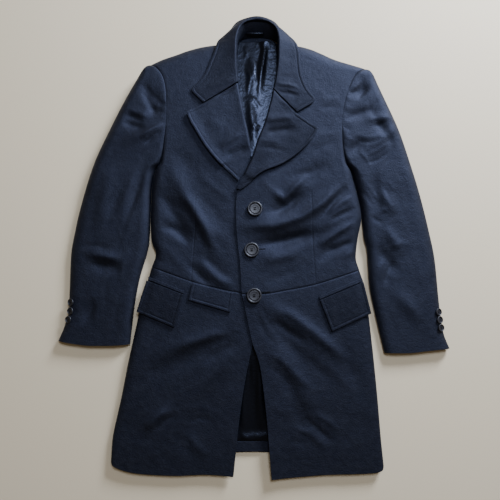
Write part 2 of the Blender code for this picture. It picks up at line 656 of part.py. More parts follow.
def build_collar():
    """The fall from its fold out to its edge, and the stand from the neck up to that fold."""
    fall = []
    stand = []
    for fx, fy, fz, ex, ey, ez, dome, sx, sy, sz in COLLAR:
        width = math.dist((fx, fy), (ex, ey))
        ux = (ex - fx) / width
        uy = (ey - fy) / width
        low = fz - COLLAR_LIP
        places = [(0.0, low - COLLAR_EDGE), (0.0, low)]
        places += [(COLLAR_TURN * c, low + COLLAR_LIP * g) for c, g in TURN]
        for f in (0.2, 0.4, 0.6, 0.8, 0.93, 1.0):
            flat = (1 - f) ** 2
            round_ = math.sqrt(max(0.0, 1 - f * f))
            z = ez + (fz - ez) * (flat + (round_ - flat) * dome)
            places.append((COLLAR_TURN + (width - COLLAR_TURN) * f, z))
        line = []
        for s, z in places:
            x = fx + ux * s
            y = fy + uy * s
            if s > COLLAR_TURN:
                lies_on = body_top(x, y) * (1 - smooth((y - NECK_RISES[0]) / NECK_RISES[1]))
                z = max(z, lies_on + LAYER_GAP + FACED)
            line.append([x, y, z])
        fall.append(line)
        top_z = low - COLLAR_EDGE - SEAM_GAP
        stand.append([
            [sx + ux * STAND_INSET, sy + uy * STAND_INSET, sz],
            [(sx + fx) / 2 + ux * STAND_BOW, (sy + fy) / 2 + uy * STAND_BOW, (sz + top_z) / 2],
            [fx + ux * STAND_INSET, fy + uy * STAND_INSET, top_z],
        ])
    shell("collar_fall", fall, FACED)
    shell("collar_stand", [list(line) for line in zip(*stand)], WOOL)


def build_strip(name, corners, top_of, wall, finish_name, wide, deep):
    """A four-cornered piece that lies on a surface: corners (x, y) round from one end's first side."""
    ax, ay, bx, by, cx, cy, dx, dy = corners
    grid = []
    for j in range(deep + 1):
        f = j / deep
        line = []
        for i in range(wide + 1):
            e = i / wide
            x = (ax + (dx - ax) * e) * (1 - f) + (bx + (cx - bx) * e) * f
            y = (ay + (dy - ay) * e) * (1 - f) + (by + (cy - by) * e) * f
            line.append([x, y, top_of(x, y)])
        grid.append(line)
    return shell(name, grid, wall, finish_name)


def build_flap(name, side, corners, thickness):
    """A flap or welt, made from the skirt's own height and moved out. It bridges the troughs under it."""
    def top_of(x, y):
        spring = by_height(LOFT, 1, y) - FLAP_SPRING
        return max(cloth_top(side, x, y), spring) + LAYER_GAP + thickness

    return build_strip(name, corners, top_of, thickness, "wool", 6, 3 if thickness == FACED else 1)


def build_button(name, x, y, z, radius, height, sides, tilt=0.0):
    """A turned button, dished inside its rim."""
    bm = bmesh.new()
    last = None
    for share, rise in BUTTON_PROFILE:
        vert = bm.verts.new((share * radius * MM, 0.0, rise * height * MM))
        if last:
            bm.edges.new((last, vert))
        last = vert
    piece = finish(bm, name, "horn")
    piece.location = (x * MM, y * MM, z * MM)
    piece.rotation_euler = (0.0, tilt, 0.0)
    spin = piece.modifiers.new("turn", "SCREW")
    spin.steps = sides
    spin.render_steps = sides
    spin.use_merge_vertices = True
    spin.merge_threshold = 0.00001
    spin.use_normal_calculate = True
    return piece


def disc_top(top_of, x, y, radius):
    """The highest cloth under a disc."""
    ring = [(x + radius * math.cos(a), y + radius * math.sin(a)) for a in (k * math.pi / 4 for k in range(8))]
    return max(top_of(px, py) for px, py in ring + [(x, y)])


def build_buttons():
    for number, (x, y) in enumerate(BUTTONS, 1):
        z = disc_top(lapped_top, x, y, BUTTON_RADIUS) + LAYER_GAP
        build_button(f"front_button_{number}", x, y, z, BUTTON_RADIUS, BUTTON_HEIGHT, 24)
    for side, heights in CUFF_BUTTONS.items():
        outline = trace(SLEEVE_OUTER[side])
        outward = -1 if side == "right" else 1
        for number, y in enumerate(heights, 1):
            edge = min(outline, key=lambda point: abs(point[1] - y))
            rise = sleeve_top(edge[0] - outward * CUFF_BUTTON_INSET, y) - edge[2]
            angle = math.acos(1 - CUFF_BUTTON_INSET / edge[3])
            tilt = math.atan2(math.cos(angle) / edge[3], math.sin(angle) / rise)
            x = edge[0] - outward * (CUFF_BUTTON_INSET - CUFF_BUTTON_GAP * math.sin(tilt))
            z = edge[2] + rise * math.sin(angle) + CUFF_BUTTON_GAP * math.cos(tilt)
            build_button(f"cuff_button_{side}_{number}", x, y, z, CUFF_BUTTON_RADIUS, CUFF_BUTTON_HEIGHT, 12,
                         outward * tilt)


for old in list(bpy.data.objects):
    bpy.data.objects.remove(old, do_unlink=True)
PIECES = bpy.data.collections.new("single_breasted_coat")
bpy.context.scene.collection.children.link(PIECES)
OUTLINES = {side: edge_of(side) for side in ("right", "left")}

for wearer_side in ("right", "left"):
    build_body(wearer_side)
    build_sleeve(wearer_side)
    build_lapel(wearer_side)
build_collar()
for row in FLAPS:
    build_flap(*row)
build_strip("lining_neck", LINING_NECK, lining_top, SATIN, "satin", 10, 8)
build_strip("lining_skirt", LINING_SKIRT, lining_top, SATIN, "satin", 12, 6)
build_strip("back_hem_turn_up", TURN_UP, lambda x, y: 2 * WOOL + SEAM_GAP, WOOL, "wool", 4, 1)
build_buttons()
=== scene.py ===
"""A single-breasted wool coat laid flat, front up: its cloth, sewing and finishes.

Tables are in millimetres, meshes in metres. "right" and "left" are the wearer's sides, so "right"
lies at -X and "left" at +X. Each cloth piece is a thin shell on the form of the solid it replaces.
"""
import bisect
import math

import bmesh
import bpy
from mathutils import Matrix, Vector, noise


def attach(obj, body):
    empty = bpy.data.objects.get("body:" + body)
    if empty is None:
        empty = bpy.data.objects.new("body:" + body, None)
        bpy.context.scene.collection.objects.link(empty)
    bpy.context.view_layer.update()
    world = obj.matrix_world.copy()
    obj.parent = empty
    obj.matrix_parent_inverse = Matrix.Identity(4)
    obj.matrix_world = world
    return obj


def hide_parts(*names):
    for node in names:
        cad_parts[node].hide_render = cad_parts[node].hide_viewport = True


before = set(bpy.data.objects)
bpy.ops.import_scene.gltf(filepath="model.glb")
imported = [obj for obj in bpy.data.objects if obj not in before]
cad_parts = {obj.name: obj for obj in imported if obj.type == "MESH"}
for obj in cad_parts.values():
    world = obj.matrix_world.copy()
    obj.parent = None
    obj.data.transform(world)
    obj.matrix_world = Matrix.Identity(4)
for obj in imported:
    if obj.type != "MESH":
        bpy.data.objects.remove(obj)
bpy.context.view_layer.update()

MM = 0.001

# Driving sizes, as in the solids
WOOL = 2.5
FACED = 3.0
SATIN = 1.0
SEAM_GAP = 0.3
LAYER_GAP = 0.7
LAP = 3.3
LAP_FADES = (20, 50)
LAPEL_LIP = 6.2
LIP_FADES = {"right": (176, 10), "left": (118, 14)}
LIP_SPREAD = 0.6
LAPEL_CREST = 1.6
CREST_WIDTH = 14.0
COLLAR_LIP = 5.0
COLLAR_TURN = 4.0
COLLAR_EDGE = 1.0
STAND_BOW = 0.6
STAND_INSET = 0.2
NECK_RISES = (385, 20)
FLAP_SPRING = 1.5
BUTTON_RADIUS = 15.0
BUTTON_HEIGHT = 4.5
CUFF_BUTTON_RADIUS = 7.3
CUFF_BUTTON_HEIGHT = 3.2

# Mesh spacing
FINE = 3.0
COARSE = 7.0
CLOSE = 2.4            # on the small pieces
WIDTH_SHARES = (0.0, 0.3, 0.6)    # where along a panel its width is measured
DART_SPLIT = (0.6, 0.4)    # share of a panel's columns on each side of its dart
DART_TRIES = 4
DART_ROOM = 0.2        # share of a row's width that a dart's columns stay away from its ends
LAPEL_COLUMNS = 26
COLLAR_COLUMNS = 14
MARKS_MOST = 0.44      # the close columns by an edge take up at most this share of a width
TRACE_STEPS = 6

# Sewing
BEVELS = {WOOL: 0.4, FACED: 0.7, SATIN: 0.3}    # how far each cloth's cut edges are rounded
BEVEL_ANGLE = 55
SHARP_ANGLE = 50
STITCH_INSET = 6.0     # topstitching along the swelled edges
STITCH_SINK = 0.5
STITCH_SOFT = 1.1
EDGE_SWELL = 0.35
SEAM_SINK = 0.9
SEAM_SOFT = 1.5
DART_SINK = 0.4
DART_SOFT = 1.3
SEWN_REACH = 4         # how many times its softness a sewn line is felt beside it
EDGE_PULL = 0.1        # how far edges are drawn in to open the seams, half as far as in the solids
STACKED = 0.45         # points closer to an edge than this are drawn in with it

# Folds and creases
FOLD_DEPTH = 1.65      # how much deeper the main folds are than in the solids
FOLD_SHARES = ((-175, 0.62), (-105, 1.0))    # share of that by height: the skirts are flatter
FOLD_REACH = 2.5       # how many half widths a fold or crease reaches to each side
FOLD_RUN_OUT = 0.25    # how far a fold fades out beyond each end, as a share of its length
CREASE_FADE = 0.35     # share of a crease over which each of its ends fades out
UNREST = ((34, 0.3, 0.55), (11, 4.7, 0.16))    # size, layer and height of the cloth's unevenness
LAPEL_SPRING = 3.2     # how far a lapel's outer edge stands off the front
SPRING_WIDTH = 11
LAPEL_TURN = 5.0       # width of the turn at its fold
LAPEL_TURN_MOST = 0.4  # share of the lapel's width

# Turned edges, seen end on: shares of the width and of the height that a turn goes through
TURN = tuple((1 - math.cos(math.radians(a)), math.sin(math.radians(a))) for a in range(10, 91, 10))
UPRIGHT = 0.17         # share of the height up to which an edge stands upright
SLACK = 0.4            # how far such an edge leans in where it is nearly flat
LOW_TURN = 3.0         # from this height up it doesn't lean
CORNER_SLACK = 0.25    # the least that it leans in at a corner
MOST_TURN = 0.42       # share of a row's width
LOWER_TURN = 9.0       # a lower piece's turn
SHOULDER_TURN = 24.0   # a turn along a piece's top
SHOULDER_TIP = (9.5, 5.6)    # heights of the top and of the under sleeve's tip


def with_turns(runs, **sides):
    """Each side's rows of an edge: its points (x, y) with their turns, from runs of (count, turn)."""
    turns = [turn for count, *turn in runs for k in range(count)]
    return {
        side: tuple((*point, *turn) for point, turn in zip(points, turns))
        for side, points in sides.items()
    }


# Height of the upper cloth above the floor, by distance from the origin: (y, body, sleeve)
LOFT = (
    (-475, 12.5, 14), (-400, 14, 14), (-300, 16, 14), (-215, 18, 15), (-110, 20, 17), (-30, 20, 18),
    (60, 22, 20), (140, 25, 24), (220, 28, 28), (300, 30, 31), (350, 30, 31), (430, 28, 26),
)

# Edges where the cloth turns under: runs of (how many points share the turn, height of the upper
# piece's edge, width of the turn, height of the lower piece's edge), then each side's points (x, y).
# A lower piece with height 0 lies flat on the floor there.
SIDE_SKIRT = with_turns(
    ((1, 8, 16, 7.6), (1, 8, 20, 7.6), (4, 8, 22, 7.6), (2, 8, 20, 7.6)),
    right=(
        (-276.5, -436), (-275, -398), (-259, -313), (-248, -250), (-235, -185), (-222, -120), (-211, -82),
        (-205, -60),
    ),
    left=((251, -444), (247, -395), (242, -313), (236, -235), (229, -160), (223, -105), (212, -66)),
)
SIDE_BODICE = with_turns(
    ((2, 8, 20, 7.6), (3, 8, 22, 7.6), (1, 8.5, 20, 7.6), (1, 10, 16, 6), (1, 13, 11, 3)),
    right=(
        (-205, -60), (-197, -34), (-206.3, -6), (-209, 40), (-208.4, 90), (-204.8, 122), (-199.8, 141),
        (-191, 152),
    ),
    left=(
        (212, -66), (205.5, -40), (210.5, 0), (218.5, 42), (212.2, 84), (204.2, 116), (199, 136),
        (190, 150),
    ),
)
ARMHOLE = with_turns(
    ((1, 13, 11, 3), (1, 20, 9, 0), (1, 25, 9, 0), (1, 27.6, 8, 0), (1, 28.6, 8, 0), (1, 29, 8, 0),
     (1, 29.4, 8, 0), (1, 29, 8, 0), (1, 28, 8, 1.5), (1, 26, 8, 5.6)),
    right=(
        (-191, 152), (-186.5, 168), (-182.5, 198), (-179, 230), (-178, 262), (-179, 291), (-183, 319),
        (-190, 337), (-200, 350), (-215.5, 362),
    ),
    left=(
        (190, 150), (184.5, 168), (180.6, 204), (180, 232), (182.5, 258), (187.5, 282), (194, 303),
        (205, 328), (217, 342), (234, 353),
    ),
)
SHOULDER = with_turns(
    ((1, 9.5, 24, 5.6), (4, 12, 26, 11.6), (1, 12, 26, 3), (1, 12, 26, 0)),
    right=((-215.5, 362), (-189, 374), (-164, 383), (-135, 394), (-105, 402), (-75, 406), (-42, 407)),
    left=((234, 353), (201, 363), (168, 374), (143, 386), (118, 397), (90, 404), (58, 406)),
)
NECK_EDGE = with_turns(
    ((1, 12, 26, 0), (1, 4, 10, 0), (2, 0, 8, 0)),
    right=((-42, 407), (-30, 420), (-12, 428), (7, 430)),
    left=((58, 406), (44, 420), (27, 428), (7, 430)),
)
SLEEVE_INNER = with_turns(
    ((1, 12, 11, 3), (1, 9, 14, 5), (7, 6, 18, 5.6), (1, 6, 16, 5.6)),
    right=(
        (-193, 150), (-202, 141), (-206.3, 122), (-209.8, 90), (-210.4, 40), (-211.5, -6), (-216, -32),
        (-229, -80), (-238, -132), (-246, -213),
    ),
    left=(
        (192, 148), (201, 136), (205.8, 116), (213.8, 84), (220.2, 42), (223.5, 0), (229, -25),
        (232, -90), (243, -155), (259, -230),
    ),
)
SLEEVE_OUTER = with_turns(
    ((1, 9.5, 16, 5.6), (1, 6.5, 22, 5.6), (6, 6, 24, 5.6), (1, 6, 22, 5.6), (1, 6, 20, 5.6),
     (1, 6, 16, 5.6)),
    right=(
        (-221, 359.5), (-233, 348), (-266, 290), (-299, 221), (-328, 153), (-347, 86), (-361, 20),
        (-369, -45), (-369, -140), (-376, -175), (-388, -206),
    ),
    left=(
        (240, 350.5), (250, 338), (272, 290), (301, 221), (322, 153), (340, 86), (354, 20), (365, -45),
        (371, -140), (377, -190), (388, -221),
    ),
)

# Plain edges: (x, y)
WAIST = {
    "right": ((-205, -60), (-161, -76), (-124, -89), (-83, -100), (-42, -109), (14, -117)),
    "left": ((212, -66), (158, -84), (118, -96), (62, -107), (16, -114), (-24, -114)),
}
HEM = {
    "right": (
        (-276.5, -436), (-273, -443), (-262, -449), (-225, -458), (-151, -462), (-95, -460), (-39.5, -464),
    ),
    "left": ((251, -444), (248, -452), (232, -457), (190, -459), (146, -460), (90, -464), (34, -469)),
}
BACK_HEM = {
    "right": ((-276.5, -436), (-200, -431), (-100, -423), (0, -420)),
    "left": ((251, -444), (180, -431), (90, -423), (0, -420)),
}
CUFF = {
    "right": ((-246, -213), (-285, -215.5), (-320, -215.5), (-355, -212), (-388, -206)),
    "left": ((259, -230), (299, -230), (349, -225), (388, -221)),
}
# The front edge of each bodice, from the waist up its lapel's fold and round the neck
BODICE_EDGE = {
    "right": (
        (14, -117), (12, -60), (10, 0), (8, 60), (3, 120), (-9, 168), (-16.5, 211), (-23, 240),
        (-32, 285), (-38, 317), (-39.5, 345), (-40.5, 375), (-42, 407),
    ),
    "left": (
        (-24, -114), (-28, -52), (-32, -16), (-35.5, 25), (-36, 60), (-33, 92), (-18.5, 114),
        (-8.5, 136), (2.5, 160), (14.5, 197), (29, 234), (37.5, 265), (45.5, 300), (52, 337),
        (54.5, 370), (58, 406),
    ),
}
SKIRT_EDGE = {
    "right": ((14, -117), (-3, -214), (-15, -272), (-27, -348), (-39.5, -464)),
    "left": ((-24, -114), (-17, -145), (-4, -206), (10.5, -249), (23, -338), (34, -469)),
}
CENTRE_BACK = ((0, -420), (3, 0), (7, 430))

# Lapels: (x, y of the fold line, x, y of the notch line, x, y of the outer edge)
LAPEL = {
    "right": (
        (-32, 316, -103, 272, -136.5, 254), (-29, 300, -95, 258, -130, 237), (-26, 285, -86, 244, -119, 218),
        (-17, 240, -70, 206, -100, 187), (-10.5, 211, -56, 180, -80, 161), (-5, 174, -40, 152, -60, 140),
        (-12, 153, -33, 138, -46, 127), (-20, 138, -29, 127, -37, 118),
        (-24, 127, -28, 119, -31, 112.5),
    ),
    "left": (
        (39, 301, 87.5, 251.5, 131, 220.5), (35, 281, 81, 242, 125, 210), (31, 266, 72, 228, 114, 194),
        (23, 236, 54, 203, 84, 165), (8.5, 199, 31, 176, 52, 145), (-4, 161, 11, 147, 25, 134),
        (-15, 138, -3, 128, 8, 124), (-25, 116, -15, 111.5, -7, 109),
        (-33.5, 97, -30, 95.5, -26, 94.5),
    ),
}
# Collar: (x, y, height of its fold, x, y of the edge, height of the edge, dome, foot x, foot y, foot z).
# dome is 0 where the fall lies on the fronts and 1 where it stands round the back of the neck.
COLLAR = (
    (-31.5, 318, 37, -103, 274.5, 33.5, 0, -31.5, 318, 14),
    (-32, 326, 37.5, -127, 301, 33.5, 0, -32, 326, 13),
    (-33, 337, 38, -116, 315, 33.5, 0, -33, 337, 12),
    (-34, 350, 39, -102, 332, 33.5, 0, -34, 350, 11),
    (-34.5, 370, 40, -90, 360, 33.5, 0, -35, 370, 10),
    (-34.5, 390, 41, -82, 381, 33.5, 0.1, -35.5, 390, 9),
    (-34, 405, 41, -78, 396, 31, 0.3, -35, 404, 8),
    (-32, 418, 40, -75, 411, 21, 0.6, -33, 415, 7),
    (-28, 432, 38, -65, 423, 10, 0.9, -27, 420.5, 3.6),
    (-20, 444, 35, -53, 436, 3.6, 1, -19, 425, 3.6),
    (-8, 450, 33, -38, 456, 3.6, 1, -8, 427.2, 3.6),
    (7, 452, 32, 7, 468.8, 3.6, 1, 7, 428, 3.6),
    (22, 450, 33, 46, 456, 3.6, 1, 22, 427.2, 3.6),
    (35, 444, 35, 62, 436, 3.6, 1, 34, 425, 3.6),
    (44, 432, 38, 76, 423, 10, 0.9, 43, 420.5, 3.6),
    (48, 418, 40, 86, 411, 21, 0.6, 49, 415, 7),
    (49.5, 405, 41, 90.5, 397, 31, 0.3, 50.5, 404, 8),
    (49.5, 390, 41, 93, 384, 33.5, 0.1, 50.5, 390, 9),
    (49, 370, 40, 95, 362, 33.5, 0, 49.5, 370, 10),
    (47.5, 350, 39, 97, 340, 33.5, 0, 47.5, 350, 11),
    (45.5, 335, 38, 103.5, 317, 33.5, 0, 45.5, 335, 12),
    (42.5, 318, 37.5, 112.5, 299, 33.5, 0, 42.5, 318, 13),
    (40.5, 308, 37, 125, 281, 33.5, 0, 40.5, 308, 14),
    (39.5, 303.5, 37, 88.5, 254.5, 33.5, 0, 39.5, 303.5, 14),
)

# Flaps and welts on the skirts: name, corners (x, y) from the top inner one round to the top outer
# one, thickness
FLAPS = (
    ("hip_flap_right", (-138.5, -115, -156, -179.5, -231.5, -148.5, -213, -87), FACED),
    ("hip_flap_left", (130, -126, 153.5, -187.5, 231.5, -152, 217.5, -90), FACED),
    ("ticket_flap_right", (-40.5, -112.5, -46, -150, -129.5, -126, -122, -92.5), FACED),
    ("pocket_welt_right", (-138, -107.5, -138.2, -113.6, -209.5, -85.6, -209, -79.5), WOOL),
    ("pocket_welt_left", (128.5, -118.5, 129.5, -124.6, 215.5, -88.6, 214, -82.5), WOOL),
)

# Main folds: (x, y of one end, x, y of the other, height, half width). Most are as in the solids. Five
# of the left front lie elsewhere, two at the right elbow are lower, and one of the lining is added.
BODY_FOLDS = (
    (-170, 137, -112, 44, 2.6, 15), (-112, 44, -60, -12, 2.2, 15), (-190, 90, -131, 0, -2.6, 13),
    (-180, 30, -121, -3, -2.4, 12), (-117, -36, -53, -90, -2.2, 14), (-160, 178, -108, 116, -1.6, 18),
    (-26, 19, 94, 38, 2.6, 14), (94, 38, 178, 100, 2.6, 14), (28, 48, 101, 90, -2.8, 12),
    (80, 122, 150, 143, -2.4, 13), (-6, -18, 105, 0, -2.4, 13), (60, -5, 139, 8, -1.6, 11),
    (124, 8, 196, 72, 2.4, 13), (132, -42, 162, -16, -2, 10), (16, -50, 92, -26, 1.8, 15),
    (-43, -170, -189, -236, 3, 16), (-46, -197, -202, -280, -2.6, 16), (-168, -333, -215, -375, 2.4, 16),
    (-36, -222, -123, -318, 2.2, 15), (-75, -280, -122, -400, -2, 16),
    (18, -129, 181, -236, 3, 17), (8, -154, 147, -289, -2.6, 16), (31, -184, 127, -355, 2.2, 16),
    (60, -261, 107, -400, -2, 16), (168, -203, 215, -318, -2.2, 15),
)
SLEEVE_FOLDS = (
    (-230, 316, -186, 267, -2.6, 11), (-215, 262, -188, 258, -2, 9), (-260, 248, -229, 246, -2.4, 9),
    (-188, 225, -258, 195, 2.8, 11), (-221, 149, -254, 44, -3, 11), (-240, 120, -274, 32, 2.4, 11),
    (-330, -30, -262, -46, 2, 12), (-326, -58, -262, -66, -2, 12), (-313, -125, -336, -170, -2.4, 11),
    (-291, 137, -312, 14, 2, 14),
    (192, 293, 226, 303, -2.4, 9), (190, 244, 235, 259, -2.4, 9), (192, 170, 227, 199, -2.4, 10),
    (222, 327, 221, 293, -2.4, 9), (230, 242, 280, 242, 2.8, 10), (235, 267, 284, 183, -2.4, 10),
    (241, 183, 287, 225, 2.4, 10), (257, 95, 282, 50, 2.8, 11), (248, -20, 284, -70, -3, 12),
    (263, 20, 295, -30, 2.6, 11), (279, -105, 327, -164, 2, 14), (244, 137, 249, 44, -2, 11),
)
LINING_FOLDS = (
    (18, 400, 12, 300, 3.5, 7), (-6, 390, 0, 300, 2.5, 7), (-8, 300, 2, 190, 2.6, 8),
    (-12, -210, -16, -380, 2.4, 7), (10, -230, 8, -385, 2, 6), (-24, -300, -22, -380, 1.6, 6),
    (-45, -392, 45, -388, 2.2, 7), (12, 434, 40, 434, 5, 26),
)
# Smaller creases between them: height, half width, then the x, y of each point along the crease
BODY_CREASES = (
    (5.2, 10.3, -157, 100, -122, 61, -102, 24, -81, -20, -65, -50),
    (-2.9, 8, -194, 26, -164, 16, -140, -2, -121, -22),
    (5.2, 9.2, -117, -36, -93, -62, -67, -86, -33, -102), (-2.9, 8, -135, -46, -107, -80, -79, -102),
    (1.2, 9, -121, 136, -84, 103, -40, 68), (-0.8, 8, -112, 95, -88, 61, -64, 30),
    (1, 10, -204, -2, -163, -36, -123, -82), (-0.8, 7, -183, 83, -156, 63, -128, 42),
    (-0.8, 5, -201, -42, -175, -52), (-0.6, 5, -190, -68, -162, -80), (-0.5, 7, -50, 44, -45, -16),
    (4.6, 8, 25, 103, 61, 76, 93, 111, 114, 132), (-3.6, 8, 26, 50, 47, 50, 73, 64, 101, 93),
    (4.2, 9, -26, 18, 42, 20, 94, 40, 139, 68, 176, 113), (-4.6, 12, -6, -18, 59, -9, 105, 5, 139, 8),
    (-2.9, 6.9, 135, 36, 162, 75, 198, 110), (3.5, 5.8, 141, 42, 174, 69, 202, 83),
    (-2.9, 5.8, 145, 28, 173, 44, 208, 61), (4.1, 6.9, 122, -22, 156, 2, 207, 34),
    (-3.5, 6.9, 144, -34, 178, -18, 206, -6), (1, 5, 176, -42, 204, -26),
    (1.3, 8, 16, -46, 56, -42, 92, -34), (-1.2, 9, 16, -90, 56, -80, 96, -62),
    (-0.6, 6, 124, -50, 144, -42), (0.8, 8, 132, 280, 181, 286), (-1, 7, 131, 263, 180, 269),
    (0.8, 7, 98, 183, 135, 206, 179, 214), (-0.8, 6, 102, 160, 138, 185, 179, 196),
    (0.9, 7, 87, 132, 124, 148), (-1.2, 6, 91, 107, 117, 115, 138, 128), (0.6, 6, 19, 111, 41, 95),
    (-0.5, 7, 92, -50, 116, -70), (4.6, 9.2, -176, -227, -125, -208, -76, -194, -31, -186),
    (-3.5, 9.2, -105, -250, -66, -227, -21, -206), (0.9, 3, -49, -182, -31, -184, -15, -192),
    (-1.2, 9, -218, -269, -187, -258, -160, -236), (4.3, 6.9, -214, -379, -188, -351, -159, -332),
    (-2.6, 5, -197, -383, -170, -358, -147, -342), (1.2, 7, -147, -340, -108, -332, -79, -340),
    (-1.2, 6, -135, -362, -104, -353, -73, -360), (2.2, 8, -131, -372, -114, -404, -84, -430),
    (-0.9, 8, -153, -379, -135, -409, -108, -435), (-0.8, 8, -167, -311, -148, -321),
    (-0.6, 8, -95, -326, -66, -334), (0.6, 7, -233, -311, -203, -290, -184, -269),
    (0.6, 8, -239, -394, -220, -406, -185, -409),
    (4.6, 9.2, 28, -139, 71, -153, 111, -182, 149, -215, 192, -254),
    (-4.1, 8, 32, -159, 67, -186, 110, -213), (1.3, 4, 6, -141, 28, -180, 57, -211),
    (-1, 4, 4, -161, 24, -196, 55, -221), (2.9, 8, 16, -219, 55, -244, 90, -279, 127, -309),
    (-1.3, 7, 16, -244, 51, -271, 82, -305), (-1, 7, 98, -229, 129, -260, 164, -290),
    (0.8, 7, 126, -235, 164, -269, 198, -311), (2.3, 6, 111, -342, 140, -357, 170, -379),
    (-2.9, 5.8, 93, -349, 124, -374, 158, -405), (2.3, 6, 68, -370, 106, -381, 146, -416),
    (-1.3, 6, 64, -394, 110, -407), (0.8, 8, 24, -319, 54, -340, 82, -345),
    (-0.8, 8, 169, -213, 196, -235, 224, -239), (-0.6, 9, 177, -309, 202, -342, 217, -375),
    (0.5, 9, 162, -404, 189, -417),
)
SLEEVE_CREASES = (
    (-2.9, 6.9, -229, 303, -212, 273, -197, 245), (1, 6, -217, 315, -198, 286),
    (2.9, 6.9, -261, 260, -236, 252, -207, 242), (-3.5, 6.9, -271, 238, -244, 227, -217, 219),
    (2.3, 4, -181, 234, -207, 219, -233, 200), (-2.3, 3.5, -181, 221, -201, 208, -223, 187),
    (0.8, 4, -184, 202, -211, 186, -233, 173), (0.9, 7, -221, 116, -240, 60, -259, -2, -272, -42),
    (-0.8, 6, -244, 116, -264, 64, -283, -2), (0.6, 6, -270, 116, -292, 60, -311, 10),
    (1.8, 5.8, -338, -34, -302, -38, -266, -44), (-1.6, 5.8, -347, -18, -315, -18, -281, -26),
    (-1.3, 6.9, -338, -52, -298, -56, -262, -58), (0.8, 6, -244, -10, -262, -50, -265, -96),
    (-0.6, 6, -286, -76, -297, -110, -292, -149), (0.6, 7, -329, -96, -312, -135, -315, -174),
    (-0.5, 6, -269, -125, -276, -169, -263, -196), (-0.8, 2.6, -197, 274, -177, 272),
    (0.5, 2.4, -195, 283, -177, 281), (0.5, 2.4, -195, 264, -177, 264), (-0.8, 2.6, -197, 256, -177, 256),
    (-0.5, 2.4, -200, 294, -179, 292), (0.4, 2.4, -195, 245, -179, 245), (-0.6, 2.6, 180, 256, 200, 254),
    (0.5, 2.4, 180, 266, 199, 266), (-1, 3, 180, 227, 200, 216), (0.6, 2.6, 180, 239, 202, 231),
    (-0.9, 3, 179, 189, 195, 181), (0.8, 3, 181, 208, 207, 193), (0.4, 2.4, 183, 286, 201, 286),
    (-0.4, 2.4, 182, 277, 201, 275), (-3.2, 5.8, 207, 281, 224, 296, 239, 315),
    (1.3, 5, 195, 296, 212, 311, 226, 328), (-1.2, 4, 235, 250, 246, 267, 259, 288),
    (0.9, 4, 221, 256, 234, 278), (-1.2, 3.5, 241, 225, 259, 231, 280, 242), (0.9, 3.5, 233, 238, 258, 244),
    (1, 4, 200, 210, 232, 202, 273, 212), (-1.2, 3.5, 206, 196, 236, 192, 269, 202),
    (1.2, 4, 219, 161, 252, 177, 281, 196), (-1.3, 3.5, 219, 148, 252, 157, 280, 177),
    (-1.2, 3.5, 263, 140, 276, 165, 285, 192), (0.8, 3.5, 208, 182, 227, 161, 239, 136),
    (1, 4, 222, 115, 238, 95, 255, 70), (-1, 4, 214, 101, 230, 79, 243, 58),
    (-1.2, 4, 261, 107, 270, 87, 279, 62), (0.8, 4, 271, 116, 284, 91), (1.3, 4, 245, 46, 261, 56, 275, 50),
    (-1.3, 4, 233, 46, 247, 34, 263, 26), (-0.6, 5, 288, 132, 303, 120),
    (0.9, 6, 268, -22, 296, -12, 320, -18), (-2.2, 6, 283, -44, 268, -70, 260, -102),
    (1.2, 6, 268, -34, 253, -62, 246, -94), (0.6, 6, 316, -26, 330, -66, 337, -110),
    (-0.6, 6, 274, -118, 265, -149, 272, -184), (0.6, 7, 309, -125, 324, -161, 319, -196),
    (-0.5, 6, 294, 65, 313, 30, 320, -6), (0.6, 6, 237, 18, 244, -18, 247, -50),
)
LAPEL_CREASES = (
    (1.2, 9, -99, 237, -58, 224), (2.3, 7, -72, 181, -44, 199, -16, 214),
    (-2.9, 6.9, -60, 160, -36, 172, -8, 183), (3.5, 6.9, 17, 233, 49, 241, 88, 245),
    (-4.1, 6.9, 17, 208, 53, 216, 93, 222), (0.9, 4, 4, 195, 33, 193, 65, 187),
    (-1, 4, 4, 181, 37, 179, 73, 172),
)
COLLAR_CREASES = (
    (2.2, 4, 39, 311, 70, 311, 98, 303), (-2.6, 4, 45, 294, 70, 294, 98, 286),
    (0.8, 4, 45, 278, 69, 271, 90, 259), (-0.6, 4, 45, 330, 74, 328, 92, 324),
    (1.2, 4, -97, 303, -64, 313, -36, 328), (-2.6, 4, -80, 286, -56, 296, -34, 307),
    (-0.6, 3.5, -97, 316, -77, 328, -56, 339), (0.6, 3.5, -81, 341, -56, 354, -36, 362),
)
LINING_CREASES = (
    (1.4, 4.2, -16, 372, -8, 340, -14, 300), (1.2, 4.2, 4, 380, 0, 350, 6, 312),
    (1.9, 5.6, 20, 425, 24, 400, 20, 372, 14, 330), (-1.1, 5.6, 12, 424, 14, 396, 8, 360),
    (1.1, 4.2, -10, 300, 2, 292, 17, 269), (1.3, 4.2, -5.5, 242, 4.9, 229, 17.3, 236),
    (0.9, 4.2, -22, 410, -14, 396, -18, 380), (1.1, 4.2, -7.5, -214, -9, -300, -7.5, -392),
    (1.0, 4.2, -19, -250, -20, -330, -19, -400), (1.1, 4.2, 16, -240, 15, -320, 18, -392),
    (-0.8, 4.2, 4, -240, 3, -320, 6, -386), (1.2, 4.2, -27, -369, -21, -391, -7.5, -397, 27.6, -391),
)
# Lines sewn into a panel, from one end to the other: (x, y)
DARTS = {
    "right": ((-117.4, 85.5), (-117.8, 13.7), (-122.6, -50.4), (-124.5, -91)),
    "left": ((116.2, 88.8), (117.1, 33.9), (118.4, -19.9), (121.2, -62.3), (122.8, -97)),
}
SHOULDER_SEAM = ((88, 375), (95.6, 373.3), (112, 367.9), (130.5, 364.7), (147, 364.1), (178, 358), (215, 347))

BUTTONS = ((2.4, 56.2), (-4.2, -26.3), (0.7, -116.7))
CUFF_BUTTONS = {"right": (-130, -147, -164), "left": (-149, -164.5, -180)}
